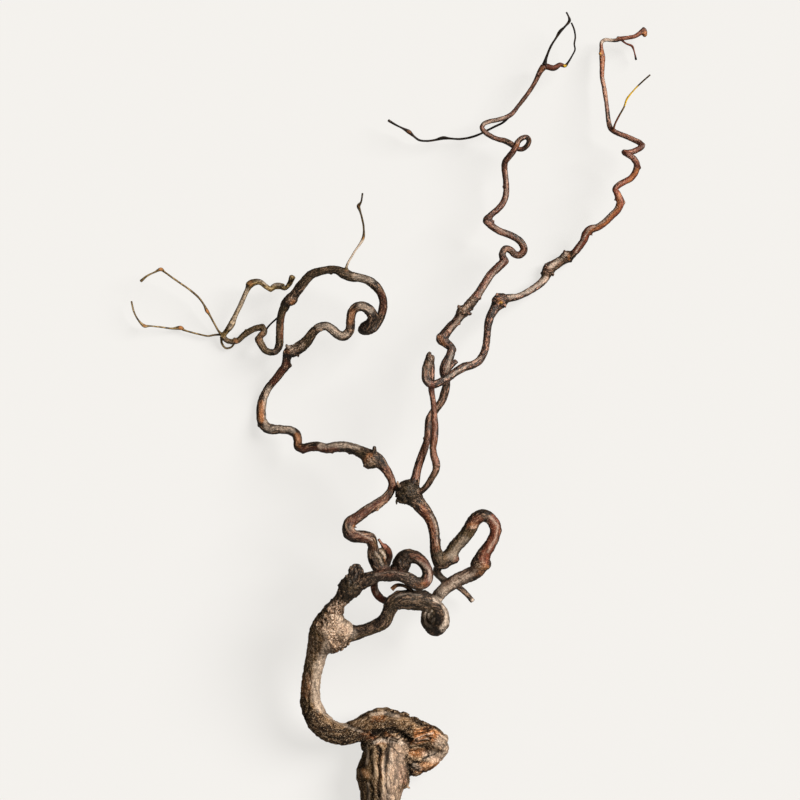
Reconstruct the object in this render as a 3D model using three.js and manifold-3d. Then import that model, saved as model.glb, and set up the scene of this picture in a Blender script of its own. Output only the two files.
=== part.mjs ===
// A dried, contorted jujube branch, cut at its thick end and lying down on the floor.
// Millimetres, +Z up. +Y runs along the branch from the cut end to the tips, +X is to its right.
// The origin is on the flat spot under the trunk that the branch rests on.

import * as THREE from 'three';
import { mergeVertices } from 'three/addons/utils/BufferGeometryUtils.js';
import Module from 'manifold-3d';

const wasm = await Module();
wasm.setup();

// The plan is a life-size drawing of the branch as it looks from straight above.
// Its corner is at the upper left, so a plan point is [across, down] in millimetres.
const PLAN_CENTRE = [400, 400];
const EYE_HEIGHT = 3000;
const REST_SPOT = [383, 776];

// Space left between a grown length and the one it grows from.
const FORK_GAP = 0.4;

// Sides, longest ring spacing, most turn in radians between rings, and unevenness of each kind of stem.
const TRUNK = { sides: 12, step: 20, turn: 0.76, rough: 0.06 };
const LIMB = { sides: 7, step: 22, turn: 0.87, rough: 0.05 };
const SLIM = { sides: 6, step: 20, turn: 0.88, rough: 0.045 };
const TWIG = { sides: 4, step: 18, turn: 0.8, rough: 0.03 };

// On the inside of a tight bend each ring keeps this share of the spacing clear of the next one.
const RING_CLEAR = 0.12;

// Length of each step of the walk along a curve that places its rings, and steps for each route point.
const WALK_STEP = 0.5;
const ARC_STEPS = 24;

// Uneven bark as slow waves: waves round the stem, radians for each millimetre along it, and seed share.
const BARK_WAVES = [[2, 1 / 9, 1.7], [3, -1 / 14, 2.9], [5, 1 / 23, 4.3]];

// How uneven a knot is, as a share of its radius, and its bumps across and lengthwise.
const KNOT_ROUGH = 0.09;
const KNOT_BUMPS = [5, 6, 2];

// Corners closer than this are one corner.
const SAME_SPOT = 1e-4;

// The block under the floor that everything is cut by.
const BLOCK_WIDTH = 1200;
const BLOCK_DEPTH = 100;
const BLOCK_MIDDLE = 300;

// How far a rounded end stands out, as a share of the last radius.
const DOME = 0.55;
const DOME_STEP = 0.34;
const DOME_RING = 0.72;

// A route is a list of [across, down, height, radius]. Height is that of the middle of the stem.
const STUMP = [
  [379, 828, 18.6, 18.5], [379, 815, 19, 19], [380, 801, 19.4, 19.6], [381.3, 789, 21.3, 22.2],
  [382.8, 776, 23.2, 24.7], [383, 763, 22.4, 23.4], [384, 752, 20.8, 21.4], [386, 744, 20, 17.5],
];
const LOWER_ARM = [
  [394, 763, 19, 14.5], [406, 761.5, 18, 15.2], [416, 760.5, 18, 14.6], [427, 757.5, 17.5, 12.4],
  [435, 751, 18.5, 11.5], [438, 744.5, 21, 10.8],
];
const UPPER_ARM = [
  [438, 744, 21, 10.8], [431, 736.5, 23.5, 11], [416, 731.5, 26, 12.6], [400, 727, 27, 13.7],
  [386, 723.5, 28, 14.6], [371, 725.5, 28.5, 12.8], [358, 730, 29, 11.3], [344, 734, 30, 10.8],
  [330, 730.5, 32, 11.5], [318, 720, 35, 12], [312, 706, 40, 10.7], [310.5, 692, 46, 10],
  [312, 675, 53, 9.8], [315.5, 658, 60, 10.2], [319.5, 645, 66, 11.5], [324, 634, 71, 13],
  [329, 623, 74, 12], [332.5, 614, 76, 9],
];
const LEFT_LIMB = [
  [331.3, 617, 75, 8.6], [334.3, 609, 77, 7.6], [341.3, 600, 81, 7.7], [348.3, 591, 85, 9],
  [358, 584, 89, 7.9], [368, 579.5, 92, 7.3], [380, 575.5, 94, 6.2], [392, 575, 95, 5.9],
  [402, 576, 95, 6.2], [410, 580, 94.5, 6.5], [417, 583.6, 93, 6.3], [424.6, 581.8, 91, 6.1],
  [427.8, 574.3, 88, 5.7], [425.6, 566.4, 86, 5.4], [420.6, 560.3, 84, 5.8], [413, 557, 81.5, 6.6],
  [405.5, 558, 79, 8.2], [402, 563.5, 77.5, 9.4], [398.5, 569.5, 76.5, 8.8], [391, 574, 77, 7.2],
  [383, 571.5, 79, 6.8],
];
const LEFT_WINDING = [
  [386, 572.5, 78, 6.4], [378, 565, 80, 7], [373.5, 555, 83, 6.3], [373, 546, 86, 5.6],
  [370, 538.5, 89, 6.2], [362, 536.5, 92, 6.5], [353, 535.5, 94, 6.5], [348.5, 529, 94, 6],
  [350, 522.5, 92, 6], [358, 517, 89, 5.5], [367, 510.5, 86, 5.3], [376, 505, 83, 5.5],
  [385, 498.5, 80, 4.8], [391, 490, 78, 4.2], [392, 482, 77, 4.1], [389, 474.5, 76, 4.4],
  [384, 467, 75, 5], [378, 460.5, 74, 6.5], [371, 457, 72, 7.3], [363, 453, 70, 6.2],
  [354, 449, 67, 5.4], [345, 446.6, 63, 5.4], [335, 446.9, 59, 5.2], [327, 448.4, 55, 4.9],
  [318, 446.5, 50, 4.9], [310, 446.9, 45, 4.6], [303, 448.3, 41, 4.5], [298, 446.5, 37, 4.3],
  [297.8, 440, 33, 4.3], [296, 434, 29, 4.5], [290, 430.5, 25, 4.4], [282, 429.5, 21, 4.3],
  [274, 429.5, 17, 5], [266.5, 427.5, 12.5, 5.2], [262, 421, 8, 4.9], [261, 412, 4.5, 4.8],
  [261.7, 404, 4.2, 4.7], [264.3, 395.5, 6, 4.1], [269, 387, 9.5, 4], [275.5, 379, 14, 4.1],
  [281.5, 371.5, 19, 4.3], [286, 365, 23.5, 4.5], [286.7, 358.5, 28, 4.2], [289, 352.5, 32, 6],
  [295, 350, 35.5, 6.3], [302, 345.3, 39, 6.3], [308, 339.5, 43, 5.5], [313, 332.5, 47, 4.8],
  [319, 327.5, 51, 4.5], [326, 326, 54, 4.3], [332, 329.5, 56, 4.5], [338, 334.5, 58, 4.6],
  [344, 336, 60, 4.9], [349.5, 330.5, 62, 4.6], [350.7, 320.5, 65, 4.6], [351.8, 313, 67, 4.8],
  [355.5, 308, 69, 5], [362, 306.3, 70, 5], [368.7, 309.6, 69, 5.4], [372.6, 316, 66, 5.6],
  [370.3, 323, 62, 5.4], [364.5, 328, 56, 5],
];
const LEFT_ARCH = [
  [366, 327, 58, 5.2], [362.5, 329.5, 51, 4.8], [366, 331, 43, 4.3], [373, 329, 38, 4],
  [379, 321, 36, 4], [382.3, 311, 38, 4.5], [383.2, 302, 41, 4.3], [380.7, 293, 45, 4.3],
  [376, 286.5, 49, 4.6], [369, 281, 52, 4.5], [360, 278, 54, 4.5], [351, 276.5, 55, 5.2],
  [344, 273.5, 55, 5.4], [336, 270, 54, 4.1], [328, 270, 52, 4], [318, 272, 49, 4.2],
  [311, 274.7, 46, 4.6], [305.5, 280, 43, 4.8], [300.5, 286.5, 40, 5], [296.5, 292, 37, 4.9],
  [291.5, 298, 34, 5.3], [286, 303, 30, 4.7], [283, 309.5, 27, 4.1], [281, 317, 24, 4.1],
  [280, 326, 21, 4.1], [279.8, 336, 19, 4.1], [279.1, 345, 18, 4.1], [276, 351, 18, 3.5],
  [271, 352.3, 19.5, 3.5], [265, 350, 22, 3.4], [261, 344, 24.5, 3.8], [258.7, 339.5, 25, 3.7],
];
const LEFT_END = [
  [258.7, 339.5, 24.5, 3.7], [260.5, 336, 20, 3.5], [264, 332, 16.5, 3.5], [262, 328, 14, 3.2],
  [256, 328.3, 12.5, 3.1], [250, 331, 11.5, 3.1], [244, 335, 10.5, 3.2], [238, 340.3, 9.5, 3.1],
  [232, 341.7, 9, 2.8], [227, 340.5, 8.5, 2.7], [222.5, 336.5, 8, 2.7],
];
const RIGHT_LIMB = [
  [344, 633, 74, 9.5], [354, 633, 74, 8.4], [363, 631, 76, 6.9], [374, 627, 78, 6.6],
  [384, 621, 80, 7.4], [389, 611, 81, 7.4], [393, 603.5, 82, 8.6], [402, 600, 82, 9.8],
  [414, 600.4, 80, 10.3], [426, 602, 77, 9.5], [436, 607.5, 72, 8.2], [441.5, 615, 66, 7.5],
  [440, 624, 59, 8],
];
const RIGHT_CURL = [
  [441, 622, 61, 7.8], [435.2, 628.3, 53, 8.2], [428.5, 621.5, 46, 7.2], [429, 612, 42, 6.8],
  [433, 604, 41, 6.4], [438, 596.5, 42, 6.4], [445.6, 588.6, 45, 6.6], [455, 581.4, 49, 6.7],
  [467, 576, 54, 6.9], [476.4, 571.5, 58, 7.3], [480.6, 563, 61, 8.5], [484, 554, 63, 7],
  [490, 545, 65, 6], [494.7, 535, 67, 5.7], [495, 526.3, 69, 5.8], [490.5, 519, 70, 6],
  [483, 515.8, 70, 6.5], [475, 520, 69, 6.8], [469.7, 529, 67, 7], [463, 538, 65, 7],
  [455, 546.5, 64, 7], [449.5, 555, 64, 6.6], [443, 560.5, 65, 6.5],
];
const RIGHT_RISE = [
  [449, 558, 64, 6.4], [440.5, 562, 65, 7], [436.5, 554, 67, 6.3], [435, 543, 70, 5.4],
  [433.9, 530.5, 73, 5.4], [431, 520.5, 75, 5.7], [425.2, 511.5, 77, 6.5], [418.2, 503, 79, 7.3],
  [411, 495, 80, 9.3], [408, 490, 80, 9],
];
const DEAD_TWIG = [
  [412.5, 593.5, 82, 2.2], [410, 589.3, 83.5, 1.8], [404.5, 586, 84.5, 1.8], [398.5, 585, 85, 1.9],
  [395.3, 586, 85, 2.1], [391.8, 589.3, 84.5, 2.3],
];
const MIDDLE_LIMB = [
  [413, 488, 81, 5.2], [415, 481, 81, 4.7], [417, 470.5, 80, 4.3], [420, 460.5, 79, 4.2],
  [424, 450, 77, 4], [427, 440, 75, 3.8], [428, 430, 73, 3.8], [429.5, 419, 71, 4],
  [434.8, 410.4, 69, 4.2], [441.6, 401.4, 68, 3.9], [444.7, 392, 68, 4.2], [446.3, 384, 69, 4],
  [445, 376.5, 70, 4.6], [444, 370.5, 70, 5], [446.3, 363, 69, 5], [450.3, 355, 67, 4.3],
  [451, 348, 65, 4.3], [446, 343.3, 63, 4.6], [442, 339, 62, 5], [445, 334.3, 61, 5],
  [449.5, 328.4, 61, 4.5], [455, 322.2, 62, 4.1], [459.5, 316.5, 63, 4.6], [465.5, 309, 63, 5],
  [471.5, 302.3, 61, 5], [476.7, 295.8, 58, 4.6], [481.8, 288, 55, 4.5], [486.8, 280, 52, 4.2],
  [491.8, 273, 50, 4.2], [498.5, 267, 49, 4.3], [503.7, 261.3, 48, 4.2], [502.2, 254, 46, 3.6],
  [505.5, 248.7, 44, 3.5], [510.7, 250.2, 42, 3.5], [514.6, 254.2, 40, 3.7], [519.8, 255, 39, 3.8],
  [523.8, 250, 39, 3.8], [521.8, 243.3, 40, 3.7], [516.2, 238.3, 42, 3.6], [508, 234.3, 44, 3.6],
  [500, 231.3, 45, 3.6], [492, 226.3, 44, 3.6], [487.7, 220.3, 42, 3.9], [491.3, 214.8, 39, 3.2],
  [497.3, 209.8, 37, 3.2], [502.3, 204, 35, 3.2], [505.3, 197.3, 34, 3.2], [506.2, 188, 34, 3],
  [505.5, 178, 35, 3], [504.5, 169.2, 36, 3], [505, 162.2, 38, 3], [508.7, 157, 40, 3],
  [512.8, 151.9, 42, 3], [515.8, 146.8, 43, 3], [518, 141.8, 43, 2.8], [522, 138.2, 42, 2.6],
  [526.5, 137.2, 40, 2.6], [529, 140.7, 37, 2.5], [527, 145.7, 34.5, 2.5], [522, 149.2, 32.5, 2.4],
  [516.5, 148.2, 31, 2.5], [510.5, 143.7, 30, 2.8], [504.5, 140.7, 29, 2.8], [498, 139.2, 29, 2.6],
  [491, 136.2, 30, 2.5], [485, 132.2, 31, 2.5], [482, 127.7, 31, 2.3], [484, 123.8, 30, 2.2],
  [490, 121.3, 29, 2.2], [497, 120, 28, 2.3], [505.3, 117.6, 27, 2.4], [511.8, 113.9, 26, 2.4],
  [517.9, 106.4, 25, 2.1], [525, 97.4, 24, 2.1], [531, 88.9, 24, 2.1], [536, 80.4, 25, 2.4],
  [539.9, 72, 26, 3], [543.4, 66.8, 27, 3.6],
];
const OUTER_STEM = [
  [413, 490, 82, 4.5], [421, 491, 85, 3.2], [427, 485.5, 87, 3], [432, 477.5, 88, 3.2],
  [436, 470, 88, 3.6], [436.2, 463, 88, 4.1], [433.9, 456, 89, 3.8], [433, 448, 90, 3.4],
  [434, 440, 90, 3.8], [435, 430, 89, 3.6], [434.5, 420, 89, 3.3], [434, 410, 89, 3],
  [433, 400, 90, 3], [431.5, 390, 91, 3.2], [431.5, 378, 93, 3.2], [431.5, 368, 95, 3.4],
  [430, 357.3, 98, 4.2],
];
const OUTER_LIMB = [
  [430, 357.3, 99, 4.7], [427.7, 364.5, 103, 4.8], [426.3, 372.5, 105, 4.8], [427.1, 380.4, 106, 4.9],
  [432.4, 384.4, 105, 4.3], [440.3, 382, 102, 3.9], [448.3, 377.5, 98, 4], [456.3, 371.5, 93, 4.2],
  [464.3, 367, 88, 4.2], [472.3, 364.8, 82, 4], [478.8, 361, 77, 4], [483.2, 354, 71, 3.8],
  [486, 345, 65, 3.6], [487, 335, 58, 3.7], [488, 325.3, 52, 4.1], [490, 317.3, 46, 4.3],
  [493.7, 310, 41, 4.9], [499.2, 302.3, 36, 6], [507, 298.4, 30, 4.3], [516, 297.3, 24, 3.5],
  [524, 294, 18.5, 3.4], [532.8, 289, 13, 3.6], [540.4, 283.5, 9, 3.9], [545, 278, 6.2, 4.3],
  [548.3, 270, 4.6, 5], [555.2, 264.8, 4.5, 5.1], [561.2, 260.8, 5.5, 4.9], [567.2, 257.5, 8, 5],
  [573.3, 253.6, 12, 4], [578.5, 247.6, 16, 3.8], [583.6, 240.6, 20, 3.8], [586.2, 233.6, 24, 4],
  [590.5, 229.4, 27, 4.2], [597.3, 227.4, 30, 3.8], [604.2, 222.9, 33, 3.7], [611.3, 216.1, 36, 3.7],
  [617.6, 209.5, 39, 3.7], [620.1, 201.3, 41, 3.9], [617.4, 194.2, 42, 3.3], [615.2, 189, 41, 2.9],
  [618.3, 185.4, 40, 3], [624, 182, 39, 3.1], [631, 178, 39, 3.3], [635.8, 171, 41, 3.4],
  [636.8, 164, 44, 3.1], [633, 158, 47, 3.1], [628, 154.5, 49, 2.8], [624.5, 152.4, 48, 2.6],
];
const OUTER_END = [
  [627, 153.9, 49, 2.5], [624, 152.2, 47, 2.5], [626.5, 152.4, 42, 2.6], [632, 151.8, 39, 2.8],
  [638, 149.3, 37, 3], [641.8, 146.3, 35, 3.1], [639.8, 143, 33, 3], [634, 140, 32, 2.7],
  [626.2, 136.5, 31, 2.7], [617.4, 133, 30, 2.7], [611.1, 128.8, 29, 2.6], [608.8, 122.3, 28, 2.3],
  [607.4, 112, 26, 2.1], [606, 100, 24, 2.2], [604.1, 88, 22, 2.2], [602.1, 77, 20, 2.2],
  [602.1, 66, 18, 2.5], [602.3, 57, 17, 3], [601.3, 48, 16, 2], [601.6, 42.5, 16, 1.9],
  [604.7, 39.9, 16, 1.8], [610, 40.1, 16, 1.7], [616, 40.3, 17, 1.8], [621, 38.6, 18, 2.2],
  [628, 37.7, 19, 2.1], [635, 36.2, 19, 2], [640, 33.2, 18, 2.3], [644.5, 29.7, 17, 3],
];
const RED_SHOOT = [
  [389, 608, 78, 3.8], [387, 602, 69, 3.8], [380.5, 598, 63, 3.9], [375.5, 591.5, 60, 3.9],
  [374.3, 583, 58, 3.7], [379, 573.5, 57, 3.7], [386, 565.5, 58, 3.7], [389, 557, 64, 3.7],
  [387.6, 550.5, 73, 3.7], [384.4, 546.8, 80, 3.4],
];
const SHORT_SHOOT = [
  [438.5, 566.5, 57.5, 4.1], [436.8, 571.5, 50, 4], [439.5, 576, 42, 3.6], [444.5, 580, 34, 3.2],
  [452, 583.5, 29, 3], [460, 588, 25, 2.8], [466.5, 594, 21, 2.6], [472.5, 601, 18, 2.5],
];
const ARCH_TWIG = [
  [345.5, 271, 57, 1.7], [347.5, 264, 60, 1.3], [355, 251, 64, 1], [363, 238.5, 67, 1.5],
  [363.7, 228, 70, 1], [362, 218, 73, 1], [360, 211, 75, 1.1], [358.5, 206, 77, 1.8],
  [361, 202, 79, 1], [362.5, 193.5, 82, 0.9],
];
const HIDDEN_TWIG = [
  [291, 300, 29, 1.3], [287, 310, 20, 1.1], [281, 315, 14, 1], [275, 320, 11, 1],
  [268, 327, 8, 1], [264, 334, 7, 0.9],
];
const LEFT_END_SHOOT = [
  [222.5, 336, 9, 2.7], [226.7, 331, 11, 2.9], [231.2, 325, 14, 3.4], [234.5, 317, 17, 2.6],
  [239.5, 307, 21, 2.3], [243.5, 298, 25, 2.3], [247.5, 289.3, 28, 2.7], [250.7, 284, 30, 3.9],
  [256, 282, 30, 3.2], [260.5, 282.3, 28, 3], [265.3, 286, 25, 2.8], [270.3, 288.7, 22, 2.5],
  [275.3, 286.2, 20, 3.3], [280.3, 286.2, 19, 3.2], [285, 288, 19, 2.3], [289.3, 284, 20, 2.5],
  [292.3, 277, 22, 3.4],
];
const UPPER_LEFT_TWIG = [
  [221, 334, 8.5, 1.5], [218.5, 331, 10, 1.1], [214, 323, 13, 1], [209, 314, 16, 1.2],
  [207, 311, 17, 1.8], [204, 305, 18, 1], [199, 298, 19, 1], [190, 290, 21, 1],
  [180, 283, 24, 1], [170, 276, 27, 1], [164, 271.5, 29, 1.2], [161, 269.3, 30, 2],
  [155, 272, 29, 1], [147, 276, 27, 1], [141, 281, 25, 1.5],
];
const LOWER_LEFT_TWIG = [
  [220.5, 334.5, 7, 1.3], [214, 335, 6, 1], [208, 336, 5.5, 0.9], [200, 334.5, 5, 0.9],
  [192, 332.5, 5, 0.9], [184, 330, 5, 1.2], [181, 328, 5, 2.1], [172, 328.5, 6, 1],
  [160, 327, 8, 0.9], [150, 326, 10, 0.9], [144.5, 326, 11, 1.7], [139, 321, 13, 0.9],
  [134, 312, 16, 0.9], [131.5, 301.5, 18, 0.9],
];
const LEFT_HOOK_TWIG = [
  [221.5, 337, 7, 1.4], [221.8, 343, 5.5, 1.1], [225.5, 348, 4.5, 1], [231, 347.3, 4.2, 1],
  [234.5, 343.3, 5.5, 1],
];
const CROSSING_TWIG = [
  [508, 117.5, 23, 1.6], [503, 122.5, 20, 1.1], [495, 126.5, 18, 1.1], [487, 130.5, 17, 1.1],
  [479, 134.5, 16, 1.1], [470, 137.5, 15, 1.1], [460, 139, 14, 1.1], [450, 138.5, 13, 1.1],
  [443, 138, 12, 1.8], [435, 140, 12, 1.1], [426, 141, 13, 1.1], [419, 140, 14, 1.1],
  [413.5, 136, 16, 1.2], [409, 132, 18, 2.1], [402, 128, 20, 1], [396, 125, 22, 1],
  [388.5, 120.5, 24, 1.3],
];
const TOP_TWIG = [
  [544.5, 64, 27, 2.4], [546.5, 57, 28, 1.4], [551, 46, 30, 1.1], [556, 38, 32, 1.1],
  [560, 31.5, 34, 1.7], [565, 26.5, 35, 1], [569.5, 20.5, 36, 1.5], [568.3, 16, 37, 0.9],
  [566.5, 12.5, 38, 1],
];
const TOP_SIDE_TWIG = [
  [545, 66, 26, 3], [554, 68, 24, 2.9], [560, 64.7, 22, 2.3], [565, 65.8, 21, 1.7],
  [568, 62.5, 21, 1], [572, 56, 22, 0.9], [575, 49.5, 23, 0.9], [574.3, 44, 24, 0.9],
  [575.3, 37, 26, 0.9], [574, 29, 28, 0.9], [571.5, 23, 30, 0.9],
];
const YELLOW_TWIG = [
  [613, 131, 31, 1.3], [615, 124, 35, 1], [619, 116, 39, 0.9], [624, 107, 43, 0.9],
  [627, 99, 46, 1], [634, 90, 49, 0.8], [642, 82, 52, 0.8], [650, 75, 55, 0.8],
];
const END_TWIGLET = [
  [621, 39.5, 17, 1.3], [626, 43.5, 14, 0.9], [632, 46.2, 12, 1.3], [634.3, 52, 11, 0.8],
  [636, 59.5, 10, 1.2],
];

// Knots, buds and broken stubs: [across, down, height, radius across, radius down, radius up].
const BURL = [
  [323.7, 634, 71, 12.8, 16, 14], [335, 630.5, 74, 14.5, 14, 13.5], [345.5, 632.5, 74, 11, 9.5, 11],
  [334, 644, 70, 9.5, 8.5, 10],
];
const TRUNK_KNOTS = [
  [367, 774, 22, 9.5, 10, 12], [401, 781, 23, 8, 8, 11], [397, 747, 24, 9, 8.5, 14],
  [371, 745, 26, 9.5, 8, 12], [375, 717, 31, 10, 7, 8], [306, 703, 40, 5.5, 7, 7],
  [414, 745.5, 21, 13, 7, 9],
];
const LEFT_KNOTS = [
  [351, 586, 88, 10, 9, 9], [381.2, 556, 83, 5.7, 8, 5.8], [370, 461.6, 74, 8, 7.6, 6.5],
  [292, 351, 36, 6.5, 5.2, 6.5], [291, 300, 34, 6, 5.6, 5.5],
];
const RIGHT_KNOTS = [
  [481, 564, 62, 9.3, 6.5, 9], [453, 559, 65, 6.5, 4.8, 6.2],
];
const KNOT = [
  [409, 491, 80, 11, 10.5, 10], [402, 496, 80, 6, 8, 7],
];
const MIDDLE_KNOTS = [
  [442, 339.5, 62, 5.8, 4.8, 5.5], [463, 311.5, 64, 6.5, 5.2, 5.5], [487.5, 220.5, 42, 4.8, 4.4, 4.4],
];
const OUTER_KNOTS = [
  [500, 300.5, 36, 7.4, 7.2, 7], [549, 269, 6, 6, 6.5, 5.6], [567, 256, 8, 6, 5.2, 5.4],
  [644.5, 33.5, 17, 2.7, 3.4, 2.7],
];
const DEAD_STUB = [[350, 588, 86, 9], [353, 580, 87, 8.3], [356, 572.5, 87, 6.4], [356.8, 565.8, 87, 4]];
const SPUR = [[372, 459, 75, 4], [374, 452.5, 78, 2.8], [374.5, 447, 80, 1.6]];
const RED_SPUR = [[384.4, 546.8, 80, 2.4], [381.3, 543.2, 81, 1.6], [378.7, 539.5, 82, 1.4]];
const CUT_STUB = [[446, 371, 70, 3], [451, 366.5, 69, 2.5], [456.5, 361, 67, 2.4]];

// Colour, roughness and metalness of each kind of wood.
const WOOD = {
  bark: [0x6b5a49, 0.92],
  brown: [0x54382c, 0.8],
  red: [0x5f3a2c, 0.7],
  olive: [0x6f6247, 0.78],
  dark: [0x3a2a22, 0.85],
};

// The distance from the plan's centre shrinks with height, as the eye above sees it.
function nearer(height) {
  return 1 - height / EYE_HEIGHT;
}

function place([across, down, height]) {
  const share = nearer(height);
  const x = PLAN_CENTRE[0] - REST_SPOT[0] + (across - PLAN_CENTRE[0]) * share;
  const y = REST_SPOT[1] - PLAN_CENTRE[1] - (down - PLAN_CENTRE[1]) * share;
  return new THREE.Vector3(x, y, height);
}

// Uneven bark: slow waves round and along the stem, from -1 to 1.
function wave(along, angle, seed) {
  const heights = BARK_WAVES.map(([round, pace, shift]) => {
    return Math.sin(round * angle + along * pace + seed * shift);
  });
  return heights.reduce((sum, height) => sum + height) / heights.length;
}

// Places along a curve, from 0 to 1, of rings that stand closer where it turns.
function stations(curve, length, kind) {
  const walk = Math.ceil(length / WALK_STEP);
  const spent = [0];
  let before = curve.getTangentAt(0);
  for (let i = 1; i <= walk; i += 1) {
    const ahead = curve.getTangentAt(i / walk);
    spent.push(spent[i - 1] + length / walk / kind.step + before.angleTo(ahead) / kind.turn);
    before = ahead;
  }
  const count = Math.max(2, Math.round(spent[walk]));
  const found = [0];
  let i = 0;
  for (let ring = 1; ring < count; ring += 1) {
    while (spent[i] < (spent[walk] * ring) / count) {
      i += 1;
    }
    found.push(i / walk);
  }
  found.push(1);
  return found;
}

// The share of a ring point's reach that stays on its own side of a neighbouring ring.
function roomBeside(reach, row, neighbour, way) {
  if (!neighbour || neighbour.radius === 0 || row.radius === 0) {
    return 1;
  }
  const between = row.middle.clone().sub(neighbour.middle).dot(neighbour.ahead) * way;
  const towards = -reach.dot(neighbour.ahead) * way;
  const room = between * (1 - RING_CLEAR);
  return towards > room ? Math.max(room, 0) / towards : 1;
}

// Bends a closed ball lengthwise along a route: its poles are the ends and its rows are the rings.
function stem(route, kind, seed, grow = 0, flatStart = false, flatEnd = false) {
  const curve = new THREE.CatmullRomCurve3(route.map(place), false, 'centripetal');
  curve.arcLengthDivisions = route.length * ARC_STEPS;
  const length = curve.getLength();
  const radii = route.map((point) => point[3] * nearer(point[2]));
  const radiusAt = (t) => {
    const at = t * (radii.length - 1);
    const low = Math.min(Math.floor(at), radii.length - 2);
    return THREE.MathUtils.lerp(radii[low], radii[low + 1], at - low);
  };
  const rings = stations(curve, length, kind).map((u) => {
    const t = curve.getUtoTmapping(u);
    return {
      middle: curve.getPoint(t),
      ahead: curve.getTangent(t),
      radius: radiusAt(t) + grow,
      along: u * length,
    };
  });
  const first = rings[0];
  const last = rings[rings.length - 1];
  const shifted = (ring, by, size) => ({
    ...ring,
    middle: ring.middle.clone().addScaledVector(ring.ahead, by * ring.radius),
    radius: ring.radius * size,
  });
  const rows = [...rings];
  if (!flatStart) {
    rows.unshift(shifted(first, -DOME_STEP, DOME_RING));
  }
  if (!flatEnd) {
    rows.push(shifted(last, DOME_STEP, DOME_RING));
  }
  rows.unshift(shifted(first, flatStart ? 0 : -DOME, 0));
  rows.push(shifted(last, flatEnd ? 0 : DOME, 0));

  const geometry = new THREE.SphereGeometry(1, kind.sides, rows.length - 1);
  const position = geometry.attributes.position;
  const side = Math.abs(rows[0].ahead.z) < 0.9 ? new THREE.Vector3(0, 0, 1) : new THREE.Vector3(1, 0, 0);
  const spot = new THREE.Vector3();
  rows.forEach((row, rowIndex) => {
    side.addScaledVector(row.ahead, -side.dot(row.ahead)).normalize();
    const across = new THREE.Vector3().crossVectors(row.ahead, side);
    const [before, after] = [rows[rowIndex - 1], rows[rowIndex + 1]];
    for (let k = 0; k <= kind.sides; k += 1) {
      const angle = ((k % kind.sides) / kind.sides) * 2 * Math.PI;
      const radius = row.radius * (1 + kind.rough * wave(row.along, angle, seed));
      spot.set(0, 0, 0);
      spot.addScaledVector(side, radius * Math.cos(angle));
      spot.addScaledVector(across, -radius * Math.sin(angle));
      spot.multiplyScalar(Math.min(roomBeside(spot, row, before, 1), roomBeside(spot, row, after, -1)));
      spot.add(row.middle);
      position.setXYZ(rowIndex * (kind.sides + 1) + k, spot.x, spot.y, spot.z);
    }
  });
  return solid(geometry);
}

// A knot or bud: a faceted ball, stretched and made uneven.
function knot([across, down, height, rx, ry, rz], seed, grow = 0, detail = 0) {
  const geometry = new THREE.IcosahedronGeometry(1, detail);
  const position = geometry.attributes.position;
  const middle = place([across, down, height]);
  const share = nearer(height);
  const spot = new THREE.Vector3();
  for (let i = 0; i < position.count; i += 1) {
    spot.fromBufferAttribute(position, i);
    const sideways = Math.sin(KNOT_BUMPS[0] * spot.x + seed);
    const lengthwise = Math.sin(KNOT_BUMPS[1] * spot.y + KNOT_BUMPS[2] * spot.z + seed * 2);
    const uneven = 1 + KNOT_ROUGH * (sideways + lengthwise);
    spot.set(
      spot.x * (rx * share * uneven + grow),
      spot.y * (ry * share * uneven + grow),
      spot.z * (rz * share * uneven + grow),
    );
    spot.add(middle);
    position.setXYZ(i, spot.x, spot.y, spot.z);
  }
  return solid(geometry);
}

// A closed three.js shape as a solid that can be joined and cut.
function solid(geometry) {
  const bare = geometry.clone();
  bare.deleteAttribute('normal');
  bare.deleteAttribute('uv');
  const merged = mergeVertices(bare, SAME_SPOT);
  const corners = merged.index.array;
  const kept = [];
  for (let i = 0; i < corners.length; i += 3) {
    const [a, b, c] = [corners[i], corners[i + 1], corners[i + 2]];
    if (a !== b && b !== c && c !== a) {
      kept.push(a, b, c);
    }
  }
  const mesh = new wasm.Mesh({
    numProp: 3,
    vertProperties: new Float32Array(merged.attributes.position.array),
    triVerts: new Uint32Array(kept),
  });
  mesh.merge();
  return new wasm.Manifold(mesh);
}

function join(solids) {
  return solids.reduce((whole, next) => whole.add(next));
}

// What would lie below the floor is cut off flat, which leaves the spots the branch rests on.
const block = new THREE.BoxGeometry(BLOCK_WIDTH, BLOCK_WIDTH, BLOCK_DEPTH);
const belowFloor = solid(block.translate(0, BLOCK_MIDDLE, -BLOCK_DEPTH / 2));

function named(name, shape, wood) {
  const cut = shape.subtract(belowFloor).getMesh();
  const geometry = new THREE.BufferGeometry();
  geometry.setAttribute('position', new THREE.Float32BufferAttribute(cut.vertProperties, 3));
  geometry.setIndex(new THREE.Uint32BufferAttribute(cut.triVerts, 1));
  geometry.computeVertexNormals();
  const [color, roughness] = WOOD[wood];
  const mesh = new THREE.Mesh(geometry, new THREE.MeshStandardMaterial({ color, roughness, metalness: 0 }));
  mesh.name = name;
  return mesh;
}

const knots = (list, grow = 0, detail = 0) => list.map((lump, i) => knot(lump, i + 1, grow, detail));

// The shapes that others grow from are made at their own size, and grown by the gap to cut with.
const trunkEnd = (grow) => join([stem(UPPER_ARM, TRUNK, 3, grow), ...knots(BURL, grow, 1)]);
const darkKnot = (grow) => join(knots(KNOT, grow, 1));

const trunkShape = join([
  stem(STUMP, TRUNK, 1, 0, true),
  stem(LOWER_ARM, TRUNK, 2),
  trunkEnd(0),
  ...knots(TRUNK_KNOTS),
]);

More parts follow.
